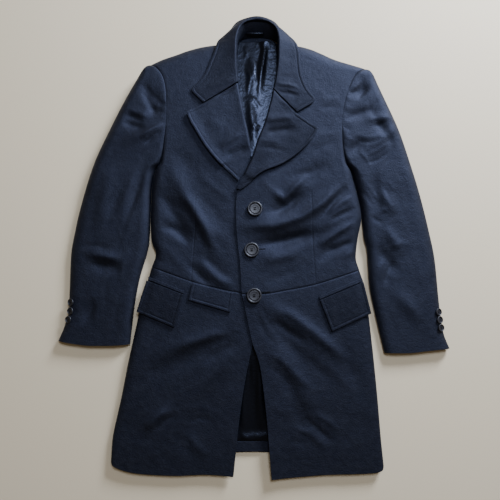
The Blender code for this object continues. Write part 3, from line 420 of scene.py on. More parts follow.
# A turned button: (share of the radius, share of the height), from its foot over the rim to its middle
BUTTON_PROFILE = (
    (0, 0), (0.7, 0), (0.94, 0.25), (0.99, 0.5), (1, 0.72), (0.97, 0.9), (0.92, 0.98), (0.86, 1), (0.8, 0.95),
    (0.76, 0.8), (0.73, 0.6), (0.7, 0.52), (0.66, 0.6), (0.61, 0.64), (0.5, 0.58), (0.36, 0.54),
)
BUTTON_SIDES = 40
# Its four holes and their stitches: the depth is a share of the height, the others of the radius
HOLE_OFFSET = 0.16
HOLE_RADIUS = 0.085
HOLE_DEPTH = 0.35
STITCH_RADIUS = 0.055
STITCH_RISE = 0.03
HOLE_SIDES = 10
CORD_SIDES = 8
# Corded buttonholes: (x, y of each end). Each has two cords side by side.
BUTTONHOLES = ((-14, 56, 18.6, 56.8), (-17.5, -25.9, 23.3, -23.9), (-15, -112.5, 31.9, -109.7))
BUTTONHOLE_STEPS = 12
CORD_APART = 0.55
CORD_RADIUS = 0.5
CORD_RISE = 0.05
HANGER_LOOP = (-16, 433.3, 13, 21.6, 433.3, 13)    # x, y, z of each end
HANGER_STEPS = 24
HANGER_DROP = 1.2
HANGER_BOW = 3
HANGER_RADIUS = 1.9
HANGER_FLAT = 0.45
CUFF_BUTTON_INSET = 6.5
CUFF_BUTTON_GAP = 0.5
# Linings and the wool turned up at the back hem: corners (x, y)
LINING_NECK = (-31, 419, -62, 170, 70, 170, 46, 419)
LINING_SKIRT = (-70, -200, -80, -399, 75, -399, 60, -200)
TURN_UP = (-80, -399.8, -80, -419, 75, -419, 75, -399.8)

# Closer columns beside an edge, by how it is sewn: distances from the edge
MARKS = {
    "seam": (0, 1.0, 2.0, 3.2, 5.0),
    "stitched": (0, 1.2, 2.6, 4.0, 5.0, 6.0, 7.0, 8.2, 10.0),
    "folded": (0, 1.2, 3.0),
    "dart": (0.0, 0.8, 1.6, 2.8),
    "lapel_foot": (0.0, 1.5),
    "plain": (0.0, 1.2),
}

# The stage, in metres: name, place, aim, size and watts of each lamp
LAMPS = (
    ("window", (1.05, 1.5, 0.8), (0.05, 0.1, 0), 0.6, 96),
    ("ceiling", (0.3, 0.8, 2.2), (0, 0, 0), 0.7, 30),
)
SKY_STRENGTH = 0.14
FLOOR_SIZE = 8
FLOOR_DROP = 0.0004
CAMERA_PLACE = (-0.00755, -0.1287, 1.013)
CAMERA_TILT = 5.9      # degrees
LENS = 36              # millimetres, on a sensor as wide


def hermite(table, t):
    """A smooth curve through a table's rows, one unit of t for each row, with no overshoot."""
    last = len(table) - 1
    i = min(int(t), last - 1)
    f = t - i
    out = []
    for column in range(len(table[0])):
        def step(k):
            return table[k + 1][column] - table[k][column]

        def slope(k):
            if k == 0:
                return step(0)
            if k == last:
                return step(last - 1)
            before = step(k - 1)
            after = step(k)
            return 0.0 if before * after <= 0 else 2 * before * after / (before + after)

        a = table[i][column]
        b = table[i + 1][column]
        out.append(
            a * (1 + 2 * f) * (1 - f) ** 2 + b * f * f * (3 - 2 * f)
            + slope(i) * f * (1 - f) ** 2 + slope(i + 1) * f * f * (f - 1)
        )
    return out


def trace(*tables):
    """The dense points of one or more tables' curves, end to end."""
    points = []
    for table in tables:
        count = (len(table) - 1) * TRACE_STEPS
        points += [hermite(table, k / TRACE_STEPS) for k in range(count + 1)]
    return points


def ruler(points):
    """A function that gives the point at a share of the length of a line of points."""
    lengths = [0.0]
    for a, b in zip(points, points[1:]):
        lengths.append(lengths[-1] + math.dist(a[:2], b[:2]))
    total = lengths[-1]

    def at(share):
        reach = min(max(share, 0.0), 1.0) * total
        i = min(max(bisect.bisect_right(lengths, reach) - 1, 0), len(points) - 2)
        while i < len(points) - 2 and lengths[i + 1] - lengths[i] < 1e-9:
            i += 1
        f = (reach - lengths[i]) / max(lengths[i + 1] - lengths[i], 1e-9)
        return [p + (q - p) * f for p, q in zip(points[i], points[i + 1])]

    at.length = total
    return at


def by_height(table, column, y):
    """A column of a table whose rows run along y, at y."""
    if y <= table[0][0]:
        return table[0][column]
    for a, b in zip(table, table[1:]):
        if y <= b[0]:
            f = smooth((y - a[0]) / (b[0] - a[0]))
            return a[column] + (b[column] - a[column]) * f
    return table[-1][column]


def bell(distance, width):
    return math.exp(-(distance / width) ** 2)


def folds(table, x, y):
    """The height that a table of folds adds at a place."""
    total = 0.0
    for ax, ay, bx, by, height, half in table:
        length = math.hypot(bx - ax, by - ay)
        ux = (bx - ax) / length
        uy = (by - ay) / length
        along = ((x - ax) * ux + (y - ay) * uy) / length
        aside = (y - ay) * ux - (x - ax) * uy
        if -FOLD_RUN_OUT < along < 1 + FOLD_RUN_OUT and abs(aside) < FOLD_REACH * half:
            gone = min(1.0, abs(along - 0.5) / (0.5 + FOLD_RUN_OUT))
            total += height * (0.5 + 0.5 * math.cos(math.pi * gone)) * bell(aside, half)
    return total


def smooth(f):
    f = min(max(f, 0.0), 1.0)
    return f * f * (3 - 2 * f)


def reach_of(table):
    """A table of creases as (the box that one reaches over, height, half width, its line of points)."""
    out = []
    for height, half, *flat in table:
        xs = flat[::2]
        ys = flat[1::2]
        wide = FOLD_REACH * half
        box = (min(xs) - wide, max(xs) + wide, min(ys) - wide, max(ys) + wide)
        out.append((box, height, half, tuple(zip(xs, ys))))
    return out


def nearest(line, x, y):
    """How near a line passes to a place, seen from above, how far along it that is, and its length."""
    best = 1e9
    at = 0.0
    passed = 0.0
    for a, b in zip(line, line[1:]):
        dx = b[0] - a[0]
        dy = b[1] - a[1]
        length = math.hypot(dx, dy)
        f = ((x - a[0]) * dx + (y - a[1]) * dy) / max(dx * dx + dy * dy, 1e-9)
        f = min(max(f, 0.0), 1.0)
        near = math.hypot(x - a[0] - dx * f, y - a[1] - dy * f)
        if near < best:
            best = near
            at = passed + f * length
        passed += length
    return best, at, passed


def to_line(line, x, y):
    return nearest(line, x, y)[0]


def creases(table, x, y):
    """The height that a table of creases adds at a place. Each one fades out towards its ends."""
    total = 0.0
    for (left, right, low, high), height, half, line in table:
        if left < x < right and low < y < high:
            near, at, length = nearest(line, x, y)
            total += height * smooth(min(at, length - at) / (CREASE_FADE * length)) * bell(near, half)
    return total


def unrest(x, y):
    """The cloth's slight unevenness, which no pressing takes out."""
    return sum(rise * noise.noise(Vector((x / size, y / size, layer))) for size, layer, rise in UNREST)


def sewn(line, x, y):
    """How far a dart or a seam within a panel sinks the cloth at a place."""
    reach = SEWN_REACH * DART_SOFT
    if not min(p[1] for p in line) - reach < y < max(p[1] for p in line) + reach:
        return 0.0
    near = to_line(line, x, y)
    return -DART_SINK * bell(near, DART_SOFT) if near < reach else 0.0


def body_top(x, y):
    """The top of the upper cloth of the body, well away from its side folds."""
    share = by_height(FOLD_SHARES, 1, y)
    deep = FOLD_DEPTH * folds(BODY_FOLDS, x, y) + creases(BODY_CREASES, x, y)
    return by_height(LOFT, 1, y) + share * deep + creases(COLLAR_CREASES, x, y) + unrest(x, y)


def lapped_top(x, y):
    """The top of the left front, which is lifted where it laps over the right one."""
    return body_top(x, y) + LAP * (1 - smooth((x - LAP_FADES[0]) / LAP_FADES[1]))


def front_top(side):
    """The top of one front, with its dart and its shoulder seam."""
    lines = [DARTS[side]] + ([SHOULDER_SEAM] if side == "left" else [])

    def top_of(x, y):
        return FRONT_TOPS[side](x, y) + sum(sewn(line, x, y) for line in lines)

    return top_of


def sleeve_top(x, y):
    small = creases(SLEEVE_CREASES, x, y)
    return by_height(LOFT, 2, y) + FOLD_DEPTH * folds(SLEEVE_FOLDS, x, y) + small + unrest(x, y)


def lining_top(x, y):
    lift = folds(LINING_FOLDS, x, y) + creases(LINING_CREASES, x, y)
    return WOOL + SEAM_GAP + SATIN + max(lift, 0.0)


def stations(length, start, end, spacing=None, count=None):
    """Distances along a length: the marks near each end, and even steps between them."""
    scale = min(1.0, MARKS_MOST * length / max(start[-1], end[-1], 0.001))
    first = [m * scale for m in start]
    last = [length - m * scale for m in reversed(end)]
    room = last[0] - first[-1]
    steps = count or max(1, round(room / spacing))
    return first + [first[-1] + room * k / steps for k in range(1, steps)] + last


def relief(kind, distance):
    """What the sewing of an edge does to the cloth beside it."""
    if kind == "seam":
        return -SEAM_SINK * bell(distance, SEAM_SOFT)
    if kind == "stitched":
        groove = -STITCH_SINK * bell(distance - STITCH_INSET, STITCH_SOFT)
        swell = EDGE_SWELL * math.sin(math.pi * min(distance / STITCH_INSET, 1.0))
        return groove + swell
    return 0.0


def linear(code):
    """An sRGB hex colour as linear values, opaque."""
    parts = [int(code[i:i + 2], 16) / 255 for i in (0, 2, 4)]
    return (*[c / 12.92 if c <= 0.04045 else ((c + 0.055) / 1.055) ** 2.4 for c in parts], 1.0)


def add(tree, kind, links=(), **settings):
    """Add a node with its settings: names of inputs are set by value, and links are (input, output)."""
    node = tree.nodes.new(kind)
    for key, value in settings.items():
        if hasattr(node, key):
            setattr(node, key, value)
        else:
            node.inputs[key.replace("_", " ")].default_value = value
    for target, source in links:
        tree.links.new(source, node.inputs[target])
    return node


def ramp(tree, source, stops):
    """A colour ramp from a factor: (place, colour)."""
    node = add(tree, "ShaderNodeValToRGB", [("Fac", source)])
    for number, (place, colour) in enumerate(stops):
        stop = node.color_ramp.elements[number] if number < 2 else node.color_ramp.elements.new(place)
        stop.position = place
        stop.color = colour
    return node.outputs["Color"]


def start_material(name, **sockets):
    made = bpy.data.materials.new(name)
    made.use_nodes = True
    tree = made.node_tree
    shader = tree.nodes["Principled BSDF"]
    for key, value in sockets.items():
        shader.inputs[key.replace("_", " ")].default_value = value
    place = add(tree, "ShaderNodeTexCoord").outputs["Object"]
    return made, tree, shader, place


def noise_of(tree, place, size, detail, **settings):
    """A noise texture's factor, with patches of a size in metres."""
    link = [("Vector", place)]
    return add(tree, "ShaderNodeTexNoise", link, Scale=1 / size, Detail=detail, **settings).outputs["Fac"]


def roughen(tree, shader, factor, strength, depth):
    bump = add(tree, "ShaderNodeBump", [("Height", factor)], Strength=strength, Distance=depth)
    tree.links.new(bump.outputs["Normal"], shader.inputs["Normal"])


def wool_melton(cut, shine):
    """Milled wool melton: a short pressed nap that is nearly matt, mottled, and bluish towards the light.

    Cloth cut across the nap throws back less light than cloth cut down it.
    """
    made, tree, shader, place = start_material(
        f"wool_melton_cut_{cut}_the_nap", Roughness=0.65, Sheen_Weight=0.03, Sheen_Roughness=0.5,
        Sheen_Tint=linear("93a3cc"), Specular_IOR_Level=shine, Specular_Tint=linear("b7c5f4"))
    nap = noise_of(tree, place, 0.0024, 5.0, Roughness=0.7)
    wear = noise_of(tree, place, 0.011, 3.0, Roughness=0.6)
    both = add(tree, "ShaderNodeMath", [(0, nap), (1, wear)], operation="ADD")
    half = add(tree, "ShaderNodeMath", [(0, both.outputs[0])], operation="MULTIPLY")
    half.inputs[1].default_value = 0.5
    stops = ((0.36, linear("080706")), (0.5, linear("0f0e0e")), (0.64, linear("181819")))
    tree.links.new(ramp(tree, half.outputs[0], stops), shader.inputs["Base Color"])
    roughen(tree, shader, half.outputs[0], 0.8, 0.0022)
    return made


def satin_lining():
    """Acetate satin: near black, smooth, with bluish highlights only along its creases."""
    made, tree, shader, place = start_material(
        "satin_lining", Base_Color=linear("0b0c10"), Roughness=0.27, Specular_IOR_Level=0.42,
        Specular_Tint=linear("c2cff2"))
    roughen(tree, shader, noise_of(tree, place, 0.009, 3.0), 0.6, 0.0011)
    return made


def waxed_thread():
    """Waxed silk twist, for the buttons' stitches and the buttonholes: black, nearly matt."""
    finish = {"Base_Color": linear("060608"), "Roughness": 0.8, "Specular_IOR_Level": 0.15}
    return start_material("waxed_thread", **finish)[0]


def turned_horn():
    """Corozo or horn, turned and polished: dark grey-brown, streaked, with a soft gloss."""
    made, tree, shader, place = start_material(
        "turned_horn", Roughness=0.44, Coat_Weight=0.12, Coat_Roughness=0.3)
    streaks = noise_of(tree, place, 0.006, 4.0, Distortion=1.5)
    stops = ((0.3, linear("131317")), (0.55, linear("222227")), (0.75, linear("35353b")))
    tree.links.new(ramp(tree, streaks, stops), shader.inputs["Base Color"])
    return made


def add_object(name, data):
    made = bpy.data.objects.new(name, data)
    bpy.context.scene.collection.objects.link(made)
    return made


def put(bm, name, node, look):
    """Make a bmesh a piece of the coat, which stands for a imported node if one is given."""
    mesh = bpy.data.meshes.new(name)
    bm.to_mesh(mesh)
    bm.free()
    mesh.materials.append(MATERIALS[look])
    mesh.shade_smooth()
    mesh.set_sharp_from_angle(angle=math.radians(SHARP_ANGLE))
    piece = add_object(name, mesh)
    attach(piece, "root")
    if node:
        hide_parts(node)
    return piece


def shell(name, points, wall, look="wool", face_down=False):
    """A cloth wall whose outer side goes through a grid of points, rows of (x, y, z) in millimetres."""
    rows = len(points)
    columns = len(points[0])
    bm = bmesh.new()
    bmesh.ops.create_grid(bm, x_segments=columns - 1, y_segments=rows - 1, size=0.5)
    facing = 0.0
    for vert in bm.verts:
        i = round((vert.co.x + 0.5) * (columns - 1))
        j = round((vert.co.y + 0.5) * (rows - 1))
        vert.co = [value * MM for value in points[j][i]]
    for face in bm.faces:
        face.normal_update()
        facing += face.normal.z * face.calc_area()
    if (facing < 0) != face_down:
        bmesh.ops.reverse_faces(bm, faces=bm.faces)
    piece = put(bm, f"cloth_{name}", name, look)
    solid = piece.modifiers.new("cloth", "SOLIDIFY")
    solid.thickness = wall * MM
    solid.offset = -1
    solid.use_quality_normals = True
    edge = piece.modifiers.new("edge", "BEVEL")
    edge.width = BEVELS[wall] * MM
    edge.segments = 2
    edge.limit_method = "ANGLE"
    edge.angle_limit = math.radians(BEVEL_ANGLE)
    edge.use_clamp_overlap = True


def slack(height):
    return SLACK * max(0.0, 1 - abs(height) / LOW_TURN)


def across(width, turn_in, turn_out, kind_in, counts, place, dart):
    """Places across a row: (distance from the inner edge, share of the inner turn, of the outer turn)."""
    turn_in = min(turn_in, MOST_TURN * width)
    turn_out = min(turn_out, MOST_TURN * width)
    start = [turn_in * c for c, g in TURN] if turn_in else MARKS[kind_in]
    end = [turn_out * c for c, g in TURN]
    if dart:
        at = dart_place(width, place, dart)
        inner = stations(at, start, MARKS["dart"], count=counts[0])
        outer = stations(width - at, MARKS["dart"], end, count=counts[1])
        flat = inner + [at + s for s in outer[1:]]
    else:
        flat = stations(width, start, end, count=counts[0])
    out = []
    for k, s in enumerate(flat):
        back = len(flat) - 1 - k
        g_in = TURN[k][1] if turn_in and k < len(TURN) else 1.0
        g_out = TURN[back][1] if back < len(TURN) else 1.0
        out.append((s, g_in, g_out))
    if turn_in:
        out = [(0.0, 0.0, 1.0), (0.0, UPRIGHT, 1.0)] + out
    return out + [(width, 1.0, UPRIGHT), (width, 1.0, 0.0)]


def dart_place(width, place, dart):
    """The distance along a row at which it crosses a dart's line, carried on past its ends."""
    at = width / 2
    rows = sorted(dart, key=lambda p: p[1])
    for attempt in range(DART_TRIES):
        x, y = place(at)
        y = min(max(y, rows[0][1]), rows[-1][1])
        for a, b in zip(rows, rows[1:]):
            if y <= b[1]:
                target = a[0] + (b[0] - a[0]) * (y - a[1]) / (b[1] - a[1])
                break
        ahead = place(at + 1)[0] - x
        at = min(max(at + (target - x) / ahead, DART_ROOM * width), (1 - DART_ROOM) * width)
    return at


def panel(name, inner, outer, top_of, bottom, top=None, turn_in=False, turn_top=True, dart=None,
          sewing=("seam", "folded", "seam")):
    """A cut piece between an inner and an outer edge, both traced from the bottom up.

    sewing gives how the inner, bottom and top edges are sewn. The outer edge always turns under. A
    lower piece has no top_of: it lies on the floor.
    """
    lower = top_of is None
    spacing = COARSE if lower else FINE
    inner_at = ruler(inner)
    outer_at = ruler(outer)
    bottom_at = ruler(bottom)
    top_at = ruler(top) if top else None
    height_column = 4 if lower else 2
    kind_in, kind_bottom, kind_top = sewing
    tall = outer_at.length
    top_marks = (0.0, *[SHOULDER_TURN * c for c, g in TURN]) if turn_top else MARKS[kind_top]
    shares = [s / tall for s in stations(tall, MARKS[kind_bottom], top_marks, spacing=spacing)]
    lifts = [1.0] * len(shares)
    if turn_top:
        lifts[-1 - len(TURN):] = [g for c, g in reversed(TURN)] + [UPRIGHT, 0.0]
        shares.append(1.0)
    widest = max(math.dist(inner_at(v)[:2], outer_at(v)[:2]) for v in WIDTH_SHARES)
    count = max(2, round(widest / spacing))
    counts = [round(count * share) for share in DART_SPLIT] if dart else (count,)

    grid = []
    for v, lift in zip(shares, lifts):
        a = inner_at(v)
        b = outer_at(v)
        width = math.dist(a[:2], b[:2])
        wide_in = (LOWER_TURN if lower else a[3]) if turn_in else 0.0
        wide_out = LOWER_TURN if lower else b[3]

        def place(distance):
            u = distance / width
            x = a[0] + (b[0] - a[0]) * u
            y = a[1] + (b[1] - a[1]) * u
            for end, end_at, share in ((0, bottom_at, 1 - v), (1, top_at, v)):
                if end_at:
                    p = end_at(1 - u)
                    q = [m + (n - m) * u for m, n in zip(inner_at(end), outer_at(end))]
                    x += (p[0] - q[0]) * share
                    y += (p[1] - q[1]) * share
            return x, y

        line = []
        row = across(width, wide_in, wide_out, kind_in, counts, place, dart)
        room_in = (row[2][0] - row[0][0]) / 2
        room_out = (row[-1][0] - row[-3][0]) / 2
        for s, g_in, g_out in row:
            x, y = place(s)
            full = 0.0 if lower else top_of(x, y)
            z = full
            if not lower:
                z += 0.0 if turn_in else relief(kind_in, s)
                z += relief(kind_bottom, v * tall)
                z += 0.0 if turn_top else relief(kind_top, (1 - v) * tall)
            for g, side_row, step, room in ((g_in, a, 1, room_in), (g_out, b, -1, room_out)):
                if g < 1:
                    edge = side_row[height_column]
                    if g == UPRIGHT:
                        give = min(max(slack(full - edge), CORNER_SLACK * (1 - lift)), room)
                        x, y = place(s + step * give)
                    z = edge + (z - edge) * g
            if lift < 1:
                edge = top_at(1 - s / width)[height_column] if top_at else SHOULDER_TIP[1 if lower else 0]
                if lift == UPRIGHT:
                    y -= min(slack(z - edge), SHOULDER_TURN * TURN[0][0] / 2)
                z = edge + (z - edge) * lift
            line.append([x, y, z])
        grid.append(line)
    pull(grid)
    shell(name, grid, WOOL, face_down=lower)


def pull(grid):
    """Draw the edges of a grid in by a small distance, to open its seams."""
    def inward(line, first, step):
        near = first
        while math.dist(line[near][:2], line[first][:2]) < STACKED:
            near += step
        tx, ty = line[near][:2]
        for n in range(first, near, step):
            x, y = line[n][:2]
            gone = math.hypot(tx - x, ty - y)
            if gone > 1e-6:
                line[n][:2] = [x + (tx - x) / gone * EDGE_PULL, y + (ty - y) / gone * EDGE_PULL]

    for line in grid:
        inward(line, 0, 1)
        inward(line, len(line) - 1, -1)
    for column in zip(*grid):
        inward(column, len(column) - 1, -1)
        inward(column, 0, 1)


def cloth_top(side, x, y):
    """The top of the body's upper cloth anywhere, with its side folds."""
    full = FRONT_TOPS[side](x, y)
    edge = min(OUTLINES[side], key=lambda p: (p[0] - x) ** 2 + (p[1] - y) ** 2)
    inside = abs(edge[0]) - abs(x)
    if inside <= 0:
        return edge[2]
    g = math.sqrt(max(0.0, 1 - max(0.0, 1 - inside / edge[3]) ** 2))
    return edge[2] + (full - edge[2]) * g


def build_body(side):
    skirt = trace(SIDE_SKIRT[side])
    upper = trace(SIDE_BODICE[side]) + trace(ARMHOLE[side])
    waist = trace(WAIST[side])
    shoulder = trace(SHOULDER[side])
    panel(f"back_{side}", trace(CENTRE_BACK), skirt + upper, None, trace(BACK_HEM[side]),
          shoulder + trace(NECK_EDGE[side]))
    panel(f"skirt_{side}", trace(SKIRT_EDGE[side])[::-1], skirt, front_top(side), trace(HEM[side]),
          waist, turn_top=False, sewing=("folded", "folded", "seam"))
    panel(f"front_{side}", trace(BODICE_EDGE[side]), upper, front_top(side), waist, shoulder,
          dart=DARTS[side], sewing=("folded", "seam", "seam"))


def build_sleeve(side):
    """The top sleeve over the under sleeve, both set into the armhole's own points."""
    inner = trace(SLEEVE_INNER[side])[::-1] + trace(ARMHOLE[side])
    outer = trace(SLEEVE_OUTER[side])[::-1]
    cuff = trace(CUFF[side])[::-1]
    panel(f"under_sleeve_{side}", inner, outer, None, cuff, turn_in=True)
    panel(f"top_sleeve_{side}", inner, outer, sleeve_top, cuff, turn_in=True)


def build_lapel(side):
    """The turned-back facing: round its fold, then flat on the front out to the edge."""
    table = LAPEL[side]
    edge_line = [row[4:6] for row in trace(table)]
    top_line = (table[0][2:4], table[0][4:6])
    gorge = (table[0][0:2], table[0][2:4])
    lip_start, lip_fade = LIP_FADES[side]
    row_at = ruler([(*point, k / TRACE_STEPS) for k, point in enumerate(edge_line)])
    grid = []
    for mark in stations(row_at.length, MARKS["stitched"], MARKS["lapel_foot"], spacing=CLOSE):
        rx, ry, nx, ny, ex, ey = hermite(table, row_at(mark / row_at.length)[2])
        width = math.dist((rx, ry), (ex, ey))
        turn = min(LAPEL_TURN, LAPEL_TURN_MOST * width)
        notch = math.dist((rx, ry), (nx, ny))
        turned = smooth((ry - lip_start) / lip_fade)
        spread = LIP_SPREAD * (1 - turned)
        flat = stations(width - turn, (0.0,), MARKS["stitched"], count=LAPEL_COLUMNS)
        places = [(0.0, 0.0), (spread, UPRIGHT)]
        places += [(max(turn * c, spread * (1 + k / len(TURN))), g) for k, (c, g) in enumerate(TURN, 1)]
        places += [(turn + s, 1.0) for s in flat[1:]]
        line = []
        for s, g in places:
            if s <= notch:
                x = rx + (nx - rx) * s / notch
                y = ry + (ny - ry) * s / notch
            else:
                x = nx + (ex - nx) * (s - notch) / (width - notch)
                y = ny + (ey - ny) * (s - notch) / (width - notch)
            rim = to_line(edge_line, x, y)
            crest = LAPEL_CREST * bell(s, CREST_WIDTH) * turned
            z = FRONT_TOPS[side](x, y) + (LAYER_GAP + FACED) + crest - (1 - g) * (LAPEL_LIP * turned)
            z += relief("stitched", min(rim, to_line(top_line, x, y))) + relief("seam", to_line(gorge, x, y))
            z += LAPEL_SPRING * turned * bell(rim, SPRING_WIDTH)
            line.append([x, y, z])
        grid.append(line)
    shell(f"lapel_{side}", grid, FACED, "across" if side == "left" else "wool")


def build_collar():
    """The fall from its fold out to its edge, and the stand from the neck up to that fold."""
    fall = []
    stand = []
    rows = trace(COLLAR)
    edge_line = [row[3:5] for row in rows]
    for fx, fy, fz, ex, ey, ez, dome, sx, sy, sz in rows:
        width = math.dist((fx, fy), (ex, ey))
        ux = (ex - fx) / width
        uy = (ey - fy) / width
        low = fz - COLLAR_LIP
        places = [(0.0, low - COLLAR_EDGE), (0.0, low)]
        places += [(COLLAR_TURN * c, low + COLLAR_LIP * g) for c, g in TURN]
        flat = width - COLLAR_TURN
        for s in stations(flat, (0.0,), MARKS["stitched"], count=COLLAR_COLUMNS)[1:]:
            f = s / flat
            lying = (1 - f) ** 2
            standing = math.sqrt(max(0.0, 1 - f * f))
            places.append((COLLAR_TURN + s, ez + (fz - ez) * (lying + (standing - lying) * dome)))
        line = []
        for s, z in places:
            x = fx + ux * s
            y = fy + uy * s
            if s > COLLAR_TURN:
                lies_on = body_top(x, y) * (1 - smooth((y - NECK_RISES[0]) / NECK_RISES[1]))
                z = max(z + creases(COLLAR_CREASES, x, y), lies_on + LAYER_GAP + FACED)
                z += relief("stitched", to_line(edge_line, x, y))
            line.append([x, y, z])
        fall.append(line)
        top_z = low - COLLAR_EDGE - SEAM_GAP
        stand.append([
            [sx + ux * STAND_INSET, sy + uy * STAND_INSET, sz],
            [(sx + fx) / 2 + ux * STAND_BOW, (sy + fy) / 2 + uy * STAND_BOW, (sz + top_z) / 2],
            [fx + ux * STAND_INSET, fy + uy * STAND_INSET, top_z],
        ])
    shell("collar_fall", fall, FACED, "across")
    shell("collar_stand", [list(line) for line in zip(*stand)], WOOL)


def strip(name, corners, top_of, wall, look="wool", stitched=False):
    """A four-cornered piece that lies on a surface: corners (x, y) round from one end's first side."""
    sides = tuple(zip(corners[::2], corners[1::2]))
    marks = MARKS["stitched" if stitched else "plain"]
    deep = math.dist(sides[0], sides[1])
    wide = math.dist(sides[1], sides[2])
    grid = []
    for down in stations(deep, MARKS["plain"], marks, CLOSE):
        f = down / deep
        line = []
        for along in stations(wide, marks, marks, CLOSE):
            e = along / wide
            x, y = ((a + (d - a) * e) * (1 - f) + (b + (c - b) * e) * f for a, b, c, d in zip(*sides))
            z = top_of(x, y)
            if stitched:
                z += relief("stitched", to_line(sides, x, y))
            line.append([x, y, z])
        grid.append(line)
    shell(name, grid, wall, look)


def build_flap(name, corners, thickness):
    """A flap or welt, made from the skirt's own height and moved out. It bridges the troughs under it."""
    side = name.rsplit("_", 1)[1]

    def top_of(x, y):
        spring = by_height(LOFT, 1, y) - FLAP_SPRING
        return max(cloth_top(side, x, y), spring) + LAYER_GAP + thickness

    look = "across" if name.startswith("hip") else "wool"
    strip(name, corners, top_of, thickness, look, stitched=thickness == FACED)


def tube(bm, line, radius, flat=1.0):
    """A round cord along a line of (x, y, z) in millimetres, pressed flat by a share."""
    grid = bmesh.ops.create_grid(bm, x_segments=len(line) - 1, y_segments=CORD_SIDES, size=0.5)
    for vert in grid["verts"]:
        i = round((vert.co.x + 0.5) * (len(line) - 1))
        turn = 2 * math.pi * round((vert.co.y + 0.5) * CORD_SIDES) / CORD_SIDES
        before = Vector(line[max(i - 1, 0)])
        after = Vector(line[min(i + 1, len(line) - 1)])
        side = (after - before).cross(Vector((0, 0, 1))).normalized()
        up = side.cross(after - before).normalized()
        reach = side * math.cos(turn) + up * math.sin(turn) * flat
        vert.co = (Vector(line[i]) + reach * radius) * MM
    bmesh.ops.remove_doubles(bm, verts=grid["verts"], dist=0.000001)


def build_button(name, x, y, z, radius, height, tilt, stitches):
    """A turned button with a rounded rim, a groove inside it and four holes in its dished middle."""
    bm = bmesh.new()
    profile = [bm.verts.new((share * radius, 0.0, rise * height)) for share, rise in BUTTON_PROFILE]
    edges = [bm.edges.new(pair) for pair in zip(profile, profile[1:])]
    bmesh.ops.spin(bm, geom=profile + edges, axis=(0, 0, 1), cent=(0, 0, 0), steps=BUTTON_SIDES,
                   angle=2 * math.pi)
    bmesh.ops.remove_doubles(bm, verts=bm.verts, dist=0.001)
    level = BUTTON_PROFILE[-1][1] * height
    offset = HOLE_OFFSET * radius
    turns = [math.pi * (0.25 + 0.5 * k) for k in range(4)]
    places = [(offset * math.cos(turn), offset * math.sin(turn), level) for turn in turns]
    for place in places:
        ring = bmesh.ops.create_circle(bm, segments=HOLE_SIDES, radius=HOLE_RADIUS * radius)["verts"]
        bmesh.ops.translate(bm, verts=ring, vec=place)
    rims = [edge for edge in bm.edges if edge.is_boundary or edge.is_wire]
    holes = [edge for edge in rims if edge.is_wire]
    bmesh.ops.triangle_fill(bm, edges=rims, use_beauty=True)
    sides = bmesh.ops.extrude_edge_only(bm, edges=holes)["geom"]
    deep = [item for item in sides if isinstance(item, bmesh.types.BMVert)]
    bmesh.ops.translate(bm, verts=deep, vec=(0, 0, -HOLE_DEPTH * height))
    bmesh.ops.holes_fill(bm, edges=[item for item in sides if isinstance(item, bmesh.types.BMEdge)])
    bmesh.ops.recalc_face_normals(bm, faces=bm.faces)
    turned = Matrix.Translation((x, y, z)) @ Matrix.Rotation(tilt, 4, "Y")
    bmesh.ops.transform(bm, matrix=Matrix.Scale(MM, 4) @ turned, verts=bm.verts)
    put(bm, f"turned_{name}", name, "button")
    rise = Vector((0, 0, STITCH_RISE * radius))
    for a, b in (places[:2], places[2:]):
        line = [Vector(a) - 3 * rise, Vector(a) + rise, Vector(b) + rise, Vector(b) - 3 * rise]
        tube(stitches, [turned @ point for point in line], STITCH_RADIUS * radius)


def disc_top(top_of, x, y, radius):
    """The highest cloth under a disc."""
    ring = [(x + radius * math.cos(a), y + radius * math.sin(a)) for a in (k * math.pi / 4 for k in range(8))]
    return max(top_of(px, py) for px, py in ring + [(x, y)])


def build_buttons():
    """The buttons, their stitches, and a corded buttonhole in the left front for each front one."""
    stitches = bmesh.new()
    for number, (x, y) in enumerate(BUTTONS, 1):
        z = disc_top(lapped_top, x, y, BUTTON_RADIUS) + LAYER_GAP
        build_button(f"front_button_{number}", x, y, z, BUTTON_RADIUS, BUTTON_HEIGHT, 0.0, stitches)
    for side, heights in CUFF_BUTTONS.items():
        outline = trace(SLEEVE_OUTER[side])
        outward = -1 if side == "right" else 1
        for number, y in enumerate(heights, 1):
            edge = min(outline, key=lambda point: abs(point[1] - y))
            rise = sleeve_top(edge[0] - outward * CUFF_BUTTON_INSET, y) - edge[2]
            angle = math.acos(1 - CUFF_BUTTON_INSET / edge[3])
            tilt = math.atan2(math.cos(angle) / edge[3], math.sin(angle) / rise)
            x = edge[0] - outward * (CUFF_BUTTON_INSET - CUFF_BUTTON_GAP * math.sin(tilt))
            z = edge[2] + rise * math.sin(angle) + CUFF_BUTTON_GAP * math.cos(tilt)
            build_button(f"cuff_button_{side}_{number}", x, y, z, CUFF_BUTTON_RADIUS, CUFF_BUTTON_HEIGHT,
                         outward * tilt, stitches)
    for ax, ay, bx, by in BUTTONHOLES:
        for apart in (-CORD_APART, CORD_APART):
            line = []
            for k in range(BUTTONHOLE_STEPS + 1):
                x = ax + (bx - ax) * k / BUTTONHOLE_STEPS
                y = ay + (by - ay) * k / BUTTONHOLE_STEPS + apart
                line.append((x, y, lapped_top(x, y) + CORD_RISE))
            tube(stitches, line, CORD_RADIUS)
    put(stitches, "button_stitches", None, "thread")


